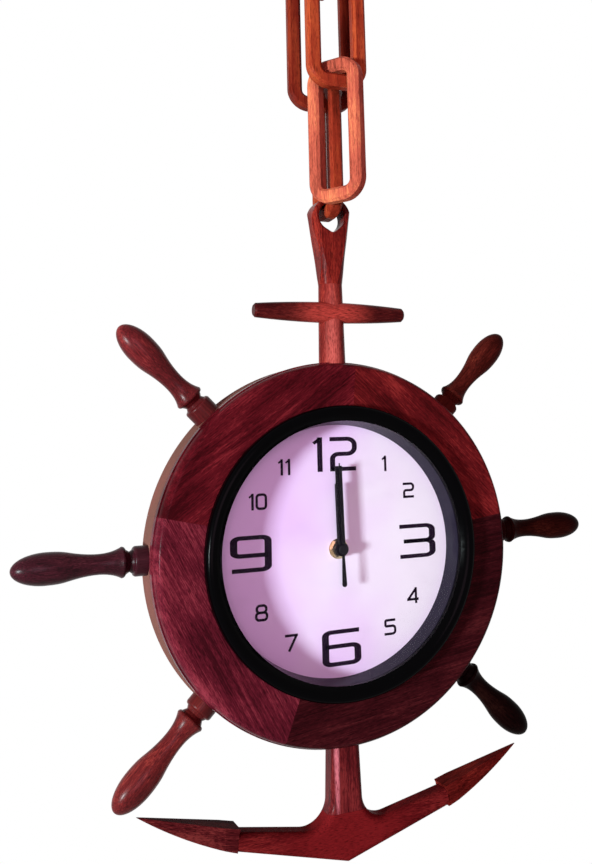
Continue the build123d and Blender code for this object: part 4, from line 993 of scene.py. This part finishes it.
class Pen:
    """Draws flat strokes on a plane that faces the viewer, by extruding and spinning one edge."""

    STUB = 0.02 * MM
    WELD = 0.004 * MM
    STEPS_PER_TURN = 40

    def __init__(self, name: str, origin: Vector, scale: Tuple[float, float]) -> None:
        """Opens an empty piece for strokes.

        Args:
            name: The piece's name.
            origin: Place of the drawing's (0, 0), in metres.
            scale: Stretch of the drawing across and up.
        """
        self.origin = origin
        self.scale = scale
        bpy.ops.object.select_all(action="DESELECT")
        bpy.ops.mesh.primitive_plane_add(size=self.STUB, location=ORIGIN)
        self.piece = bpy.context.object
        self.piece.name = name
        bpy.ops.object.mode_set(mode="EDIT")
        bpy.ops.mesh.select_all(action="SELECT")
        bpy.ops.mesh.delete(type="VERT")

    def draw(self, stroke: Stroke) -> None:
        """Draws one stroke.

        Args:
            stroke: The stroke, in millimetres.
        """
        heading = stroke.heading
        at = self.origin + Vector((stroke.start[0] * MM, 0.0, stroke.start[1] * MM))
        bpy.ops.mesh.select_all(action="DESELECT")
        bpy.ops.mesh.primitive_plane_add(size=1.0, location=at, scale=(1.0, 1.0, 1.0),
                                         rotation=(math.pi / 2, -math.radians(heading), 0.0))
        ahead, side = self._axes(heading)
        self._squeeze(at, ahead, side, stroke.width * MM)
        self._lead(at, ahead)
        for move in stroke.moves:
            if isinstance(move, Run):
                step = ahead * (move.length * MM)
                bpy.ops.mesh.extrude_edges_move(TRANSFORM_OT_translate={"value": step})
                at = at + step
            else:
                reach = math.copysign(move.radius * MM, move.angle)
                centre = at + side * reach
                steps = max(2, round(abs(move.angle) / 360 * self.STEPS_PER_TURN))
                bpy.ops.mesh.spin(steps=steps, angle=math.radians(move.angle), center=centre,
                                  axis=(0.0, 1.0, 0.0))
                heading += move.angle
                ahead, side = self._axes(heading)
                at = centre - side * reach

    @staticmethod
    def _axes(heading: float) -> Tuple[Vector, Vector]:
        """The unit vectors ahead of the pen and to its left, in the plane of the drawing."""
        across, up = math.cos(math.radians(heading)), math.sin(math.radians(heading))
        return Vector((across, 0.0, up)), Vector((-up, 0.0, across))

    def _squeeze(self, at: Vector, ahead: Vector, side: Vector, width: float) -> None:
        """Shrinks the new unit plane to a stub as wide as the pen.

        Args:
            at: The plane's middle.
            ahead: The pen's direction.
            side: The direction to the pen's left.
            width: The pen's width in metres.
        """
        mesh = bmesh.from_edit_mesh(self.piece.data)
        for vertex in (v for v in mesh.verts if v.select):
            away = vertex.co - at
            vertex.co = at + ahead * (self.STUB * (0.5 + away.dot(ahead))) + side * (away.dot(side) * width)
        bmesh.update_edit_mesh(self.piece.data)

    def _lead(self, at: Vector, ahead: Vector) -> None:
        """Selects the front edge of the selected stub.

        Args:
            at: The stub's start.
            ahead: The pen's direction.
        """
        mesh = bmesh.from_edit_mesh(self.piece.data)
        front = [v for v in mesh.verts if v.select and (v.co - at).dot(ahead) > self.STUB / 2]
        bpy.ops.mesh.select_all(action="DESELECT")
        bpy.ops.mesh.select_mode(type="EDGE")
        mesh = bmesh.from_edit_mesh(self.piece.data)
        for edge in mesh.edges:
            edge.select_set(all(v in front for v in edge.verts))
        bmesh.update_edit_mesh(self.piece.data)

    def lift(self, thickness: float) -> bpy.types.Object:
        """Closes the drawing as a thin sheet that stands proud of its plane.

        Args:
            thickness: The sheet's thickness in metres.

        Returns:
            The finished piece.
        """
        bpy.ops.mesh.select_mode(type="FACE")
        bpy.ops.mesh.select_all(action="SELECT")
        bpy.ops.transform.resize(value=(self.scale[0], 1.0, self.scale[1]), center_override=self.origin)
        bpy.ops.mesh.remove_doubles(threshold=self.WELD)
        bpy.ops.mesh.extrude_region_move(TRANSFORM_OT_translate={"value": (0.0, -thickness, 0.0)})
        bpy.ops.mesh.select_all(action="SELECT")
        bpy.ops.mesh.normals_make_consistent(inside=False)
        bpy.ops.object.mode_set(mode="OBJECT")
        bpy.ops.object.transform_apply(location=True, rotation=True, scale=True)
        return self.piece


@dataclass(frozen=True)
class Face:
    """The size of a set of figures, in millimetres, and how far they are stretched across and up."""

    height: float
    stroke: float
    corner: float
    stretch: Tuple[float, float] = (1.0, 1.0)


class Figure:
    """One wide, square-shouldered figure, whose pen keeps within its centre lines."""

    LEAST_RUN = 0.001
    RING_SLACK = 0.01

    def __init__(self, face: Face, left: float, width: float) -> None:
        """Works out the centre lines.

        Args:
            face: The figure's height, stroke and corner.
            left: Its left edge.
            width: Its width.
        """
        half = face.stroke / 2
        self.height, self.stroke, self.corner = face.height, face.stroke, face.corner
        self.left, self.width = left, width
        self.west, self.east = left + half, left + width - half
        self.low, self.mid, self.top = half, face.height / 2, face.height - half

    @staticmethod
    def _joined(lengths: Sequence[float], corner: Turn) -> Path:
        """Straight runs with the same corner between each two."""
        moves = [move for length in lengths for move in (Run(length), corner)]
        return tuple(moves[:-1])

    @staticmethod
    def _line(start: Tuple[float, float], rise: float, reach: float, width: float) -> Stroke:
        """A straight stroke that goes some way up and some way to the right."""
        heading = math.degrees(math.atan2(rise, reach))
        return Stroke(start, heading, (Run(math.hypot(rise, reach)),), width)

    def _bowl(self, start: float, drop: float, end: float) -> Path:
        """A path to the right, round two corners to a lower line, and back to the left.

        Args:
            start: Where it starts, across the figure.
            drop: How far down it goes.
            end: Where it ends, across the figure.

        Returns:
            The path.
        """
        bend = min(self.corner, drop / 2)
        down = max(drop - 2 * bend, self.LEAST_RUN)
        return self._joined((self.east - bend - start, down, self.east - bend - end), Turn(-90.0, bend))

    def _ring(self, west: float, east: float, low: float, top: float) -> Stroke:
        """A closed round-cornered loop.

        Args:
            west: Its left centre line.
            east: Its right centre line.
            low: Its lowest centre line.
            top: Its highest centre line.

        Returns:
            The stroke.
        """
        corner = Turn(90.0, min(self.corner, min(top - low, east - west) / 2 - self.RING_SLACK))
        span, side = east - west - 2 * corner.radius, top - low - 2 * corner.radius
        path = self._joined((span, side, span, side), corner) + (corner,)
        return Stroke((west + corner.radius, low), 0.0, path, self.stroke)

    def nought(self) -> List[Stroke]:
        """The figure 0."""
        return [self._ring(self.west, self.east, self.low, self.top)]

    def one(self) -> List[Stroke]:
        """The figure 1, with a short flag.

        Returns:
            The strokes.
        """
        rise, reach = self.width * 0.55, self.width - self.stroke * 0.62
        flag = self.stroke * 0.72
        start = (self.left + flag * 0.3, self.height - flag * 0.5 - rise)
        return [self._line((self.east, 0.0), self.height, 0.0, self.stroke),
                self._line(start, rise, reach, flag)]

    def two(self) -> List[Stroke]:
        """The figure 2.

        Returns:
            The strokes.
        """
        drop = self.top - self.mid
        neck = min(self.corner, drop / 2) * 0.8
        path = self._bowl(self.left, drop, self.west + neck) + (Turn(90.0, neck), Run(self.mid - neck))
        return [Stroke((self.left, self.top), 0.0, path, self.stroke),
                self._line((self.left, self.low), 0.0, self.width * 0.95, self.stroke)]

    def three(self) -> List[Stroke]:
        """The figure 3.

        Returns:
            The strokes.
        """
        waist = self.left + self.width * 0.11
        upper = self._bowl(self.left, self.top - self.mid, waist)
        lower = self._bowl(waist, self.mid - self.low, self.left)
        return [Stroke((self.left, self.top), 0.0, upper, self.stroke),
                Stroke((waist, self.mid), 0.0, lower, self.stroke)]

    def four(self) -> List[Stroke]:
        """The figure 4.

        Returns:
            The strokes.
        """
        stem, bar = self.left + self.width * 0.78, self.height * 0.26
        rise, reach = self.height - self.stroke * 0.4 - bar, self.width * 0.70
        return [self._line((stem, 0.0), self.height, 0.0, self.stroke),
                self._line((self.left, bar), 0.0, self.width, self.stroke),
                self._line((self.left + self.stroke * 0.5, bar), rise, reach, self.stroke)]

    def five(self) -> List[Stroke]:
        """The figure 5.

        Returns:
            The strokes.
        """
        waist, end = self.height * 0.56, self.left + self.width * 0.94
        tight = Turn(90.0, self.stroke * 0.55)
        fall = self.top - waist - 2 * tight.radius
        path = self._joined((end - self.west - tight.radius, fall), tight) + (tight,)
        path += self._bowl(self.west + tight.radius, waist - self.low, self.left)
        return [Stroke((end, self.top), 180.0, path, self.stroke)]

    def six(self) -> List[Stroke]:
        """The figure 6.

        Returns:
            The strokes.
        """
        waist, end = self.height * 0.545, self.left + self.width * 0.96
        corner = Turn(90.0, self.corner * 0.8)
        bend, span = corner.radius, self.east - self.west
        runs = (end - self.west - bend, self.top - self.low - 2 * bend, span - 2 * bend,
                waist - self.low - 2 * bend, span - bend)
        return [Stroke((end, self.top), 180.0, self._joined(runs, corner), self.stroke)]

    def seven(self) -> List[Stroke]:
        """The figure 7.

        Returns:
            The strokes.
        """
        corner, foot = self.left + self.width - self.stroke * 0.55, self.left + self.width * 0.30
        return [self._line((self.left, self.top), 0.0, self.width, self.stroke),
                self._line((corner, self.top), -self.top, foot - corner, self.stroke)]

    def eight(self) -> List[Stroke]:
        """The figure 8, with a smaller upper ring."""
        waist, inset = self.mid * 1.02, self.width * 0.05
        return [self._ring(self.west + inset, self.east - inset, waist, self.top),
                self._ring(self.west, self.east, self.low, waist)]

    def nine(self) -> List[Stroke]:
        """The figure 9, which is a 6 turned half round.

        Returns:
            The strokes.
        """
        turned = []
        for stroke in self.six():
            start = (2 * self.left + self.width - stroke.start[0], self.height - stroke.start[1])
            turned.append(Stroke(start, stroke.heading + 180.0, stroke.moves, stroke.width))
        return turned


@dataclass(frozen=True)
class Number:
    """A printed number: its middle on the dial, its face, and its figures' widths and gap."""

    FIGURES: ClassVar[Dict[str, Callable[[Figure], List[Stroke]]]] = {
        "0": Figure.nought, "1": Figure.one, "2": Figure.two, "3": Figure.three, "4": Figure.four,
        "5": Figure.five, "6": Figure.six, "7": Figure.seven, "8": Figure.eight, "9": Figure.nine}

    middle: Tuple[float, float]
    face: Face
    widths: Tuple[float, ...]
    gap: float = 0.0

    def strokes(self, text: str) -> List[Stroke]:
        """Lays the number's figures side by side.

        Args:
            text: The figures.

        Returns:
            The strokes, from the number's lower left corner.
        """
        drawn, left = [], 0.0
        for figure, width in zip(text, self.widths):
            drawn += self.FIGURES[figure](Figure(self.face, left, width))
            left += width + self.gap
        return drawn

    def corner(self) -> Tuple[float, float]:
        """The lower left corner on the dial."""
        size = (sum(self.widths) + self.gap * (len(self.widths) - 1), self.face.height)
        return tuple(m - s * k / 2 for m, s, k in zip(self.middle, size, self.face.stretch))


LARGE = Face(height=25.6, stroke=3.1, corner=4.6, stretch=(1.14, 0.865))
BOLD = Face(height=25.6, stroke=3.0, corner=3.3, stretch=(1.54, 0.865))
SMALL = Face(height=10.2, stroke=1.6, corner=1.9)


class Hour(Enum):
    """The twelve hours' printed numbers, in millimetres from the dial's middle."""

    H1 = Number((34.6, 53.0), SMALL, (3.4,))
    H2 = Number((52.3, 34.6), SMALL, (8.5,))
    H3 = Number((57.7, 1.0), BOLD, (17.3,))
    H4 = Number((52.4, -34.2), SMALL, (8.5,))
    H5 = Number((35.2, -52.5), SMALL, (8.5,))
    H6 = Number((0.7, -61.3), BOLD, (17.3,))
    H7 = Number((-32.8, -54.6), SMALL, (8.5,))
    H8 = Number((-51.8, -34.8), SMALL, (8.5,))
    H9 = Number((-58.0, 1.0), BOLD, (17.3,))
    H10 = Number((-53.2, 32.4), SMALL, (3.4, 7.6), 1.1)
    H11 = Number((-35.6, 53.1), SMALL, (3.4, 3.4), 1.5)
    H12 = Number((-0.5, 60.3), LARGE, (6.0, 16.9), 4.6)


# Clock insert, movement and hands


@dataclass
class ClockInsert(SubAssembly):
    """The black bezel, the lens, the reflector ring, the dial with its numbers and the pan behind it."""

    white: Colour = srgb(251, 247, 255)
    # lilac: the colour of the dial's painted shade on its left and round its edge
    lilac: Colour = srgb(238, 204, 250)
    ink: PrintInk = PrintInk()
    ink_thickness: float = 0.08 * MM

    def dress(self) -> None:
        """Gives each piece its finish."""
        low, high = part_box("dial")
        radius = (high.x - low.x) / 2 / MM
        paper = DialPaper(tuple(middle_of("dial")), self.white, self.lilac, radius)
        black = MouldedPlastic((0.0006, 0.0005, 0.0007), 0.16, 0.5, gloss=0.02)
        self.put_on("gloss_black", black, "bezel")
        reflector = MouldedPlastic(srgb(31, 27, 39), 0.16, 0.6, gloss=0.10)
        self.put_on("grey_reflector", reflector, "reflector_ring")
        self.put_on("clear_lens", ClearLens(), "lens")
        self.put_on("dial_sheet", paper, "dial")
        self.put_on("moulded_black", MouldedPlastic((0.012, 0.012, 0.013), 0.52), "back_pan")
        steel = Metal((0.58, 0.57, 0.55), 0.34)
        self.put_on("plated_steel", steel, "pan_screws", "clip_screws", "retaining_clips")

    def build(self) -> None:
        """Prints every number on the dial and lets it ride on the clock."""
        front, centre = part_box("dial")[0].y, middle_of("dial")
        ink = self.ink.material("print_ink")
        for hour in Hour:
            text = hour.name[1:]
            across, up = hour.value.corner()
            corner = Vector((centre.x + across * MM, front, centre.z + up * MM))
            pen = Pen(f"numeral_{text}", corner, hour.value.face.stretch)
            for stroke in hour.value.strokes(text):
                pen.draw(stroke)
            piece = pen.lift(self.ink_thickness)
            piece.data.materials.append(ink)
            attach(piece, "clock")
            LOG.info("printed %s", piece.name)


@dataclass
class Movement(SubAssembly):
    """The quartz movement behind the dial: case, cell, wheels and motor."""

    wheels: Tuple[str, ...] = ("hour_wheel", "cannon_pinion", "minute_wheel", "centre_wheel", "third_wheel",
                               "second_wheel", "step_wheel")
    jacket: Colour = (0.02, 0.10, 0.05)
    jacket_band: Colour = (0.42, 0.30, 0.10)

    def dress(self) -> None:
        """Gives each piece its finish."""
        low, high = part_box("battery")
        case = MouldedPlastic((0.014, 0.014, 0.016), 0.46)
        self.put_on("case_black", case, "movement_case", "movement_cover", "stator_pillars")
        self.put_on("knob_black", MouldedPlastic((0.02, 0.02, 0.022), 0.36, 0.6), "setting_knob")
        self.put_on("white_nylon", MouldedPlastic((0.70, 0.69, 0.62), 0.40, 0.8), *self.wheels)
        brass = Metal((0.60, 0.48, 0.33), 0.26, (3.0, 3.0, 3.0), (0.22, 0.15, 0.10))
        self.put_on("turned_brass", brass, "washer", "nut")
        self.put_on("black_rubber", MouldedPlastic((0.010, 0.010, 0.010), 0.70), "gasket")
        cell = CellJacket(self.jacket, self.jacket_band, (high.x - low.x) / 2 / MM, (low.x + high.x) / 2 / MM)
        self.put_on("cell_jacket", cell, "battery")
        self.put_on("nickel_plate", Metal((0.70, 0.67, 0.60), 0.26), "battery_contacts")
        self.put_on("magnet_grey", Metal((0.16, 0.16, 0.17), 0.42), "motor_rotor")
        self.put_on("stator_sheet", Metal((0.42, 0.42, 0.43), 0.38), "motor_stator")
        self.put_on("copper_winding", CoilWire(), "motor_coil")
        self.put_on("green_laminate", CircuitLaminate(), "circuit_board")


@dataclass
class Hands(SubAssembly):
    """The three black hands."""

    names: Tuple[str, ...] = ("hour_hand", "minute_hand", "second_hand")
    paint: MouldedPlastic = MouldedPlastic((0.003, 0.0025, 0.0035), 0.30, 0.4, gloss=0.12)

    def dress(self) -> None:
        """Gives the hands a satin black."""
        self.put_on("satin_black", self.paint, *self.names)


# Studio


@dataclass(frozen=True)
class Lamp:
    """A soft square lamp."""

    name: str
    place: Point
    aim: Point
    size: float
    power: float
    colour: Colour

    def build(self) -> None:
        """Adds the lamp, turned to its aim."""
        data = bpy.data.lights.new(self.name, "AREA")
        data.shape = "SQUARE"
        data.size = self.size
        data.energy = self.power
        data.color = self.colour
        lamp = bpy.data.objects.new(self.name, data)
        bpy.context.scene.collection.objects.link(lamp)
        way = Vector(self.aim) - Vector(self.place)
        lamp.location = self.place
        lamp.rotation_mode = "QUATERNION"
        lamp.rotation_quaternion = way.to_track_quat("-Z", "Y")
        LOG.info("lamp %s", self.name)


@dataclass
class Studio:
    """Camera, lamps, world and floor. The camera's lengths are pixels of a 592 by 864 image."""

    WHITE_RAYS: ClassVar[Tuple[str, ...]] = ("Is Camera Ray", "Is Glossy Ray", "Is Transmission Ray")

    image: Tuple[int, int] = (592, 864)
    sensor: float = 36.0
    focal: float = 948.8
    principal: Tuple[float, float] = (404.80, 315.87)
    clip: Tuple[float, float] = (0.01, 50.0)
    eye: Point = (-0.23835, -0.56965, -0.41177)
    forward: Point = (0.44455, 0.88315, 0.14974)
    upward: Point = (-0.03323, -0.15079, 0.98801)
    ambient: Colour = (0.24, 0.14, 0.18)
    floor_z: float = -1.75
    floor_size: float = 14.0
    floor_grey: float = 0.8
    floor_roughness: float = 0.8
    lamps: Tuple[Lamp, ...] = (
        Lamp("key", (-1.34, -0.67, -0.50), (0.0, 0.0, -0.45), 0.20, 35.0, (0.87, 1.02, 1.04)),
        Lamp("fill", (-0.45, -1.55, -0.25), (0.0, 0.0, -0.45), 0.8, 8.4, (1.0, 0.62, 0.82)),
    )

    def build(self) -> None:
        """Makes the whole studio."""
        self._camera()
        self._world()
        self._floor()
        for lamp in self.lamps:
            lamp.build()
        bpy.context.scene.view_settings.view_transform = "Standard"

    def _camera(self) -> None:
        """Places the camera at the photograph's viewpoint, with its framing as a shift."""
        width, height = self.image
        longest = max(width, height)
        data = bpy.data.cameras.new("camera")
        data.sensor_width = self.sensor
        data.lens = self.sensor * self.focal / longest
        data.shift_x = (width / 2 - self.principal[0]) / longest
        data.shift_y = (self.principal[1] - height / 2) / longest
        data.clip_start, data.clip_end = self.clip
        camera = bpy.data.objects.new("camera", data)
        bpy.context.scene.collection.objects.link(camera)
        ahead = Vector(self.forward).normalized()
        right = ahead.cross(Vector(self.upward)).normalized()
        turn = Matrix((right, right.cross(ahead), -ahead)).transposed()
        camera.matrix_world = Matrix.Translation(self.eye) @ turn.to_4x4()
        bpy.context.scene.camera = camera

    def _whitened(self, tree: ShaderTree) -> Wire:
        """Which rays see white: 1 for those of the camera, reflections and glass, and 0 for the rest.

        Args:
            tree: The nodes to add to.

        Returns:
            The share of white.
        """
        first, *others = self.WHITE_RAYS
        share = tree.node("ShaderNodeLightPath", output=first)
        outputs = share.socket.node.outputs
        for ray in others:
            share = share.most(Wire(tree, outputs[ray]))
        return share

    def _world(self) -> None:
        """White behind the object, and a soft even light from all round."""
        world = bpy.data.worlds.new("studio")
        bpy.context.scene.world = world
        tree = ShaderTree(world)
        colour = tree.mix(self._whitened(tree), self.ambient, WHITE)
        tree.feed(tree.nodes["Background"].inputs["Color"], colour)

    def _floor(self) -> None:
        """A plain pale floor far below the clock, white to the camera."""
        bpy.ops.object.select_all(action="DESELECT")
        bpy.ops.mesh.primitive_plane_add(size=self.floor_size, location=(0.0, 0.0, self.floor_z))
        floor = bpy.context.object
        floor.name = "floor"
        material = bpy.data.materials.new("pale_floor")
        tree = ShaderTree(material)
        tree.finish(Base_Color=times(WHITE, self.floor_grey), Roughness=self.floor_roughness)
        glow = tree.node("ShaderNodeEmission", sockets={"Color": WHITE, "Strength": 1.0})
        surface = Wire(tree, tree.nodes["Principled BSDF"].outputs[0])
        mixed = tree.node("ShaderNodeMixShader", sockets={0: self._whitened(tree), 1: surface, 2: glow})
        tree.feed(tree.nodes["Material Output"].inputs["Surface"], mixed)
        floor.data.materials.append(material)


def main() -> None:
    """Loads the frame, dresses and details every sub-assembly, and sets up the studio."""
    logging.basicConfig(level=logging.INFO, format="%(message)s")
    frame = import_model()
    nodes = frame["nodes"]
    for part in (WheelRim(nodes), SpokeHandles(nodes), Anchor(nodes), Chain(nodes), ClockInsert(nodes),
                 Movement(nodes), Hands(nodes)):
        part.dress()
        part.build()
        LOG.info("finished %s", type(part).__name__)
    Studio().build()


if __name__ == "__main__":
    main()
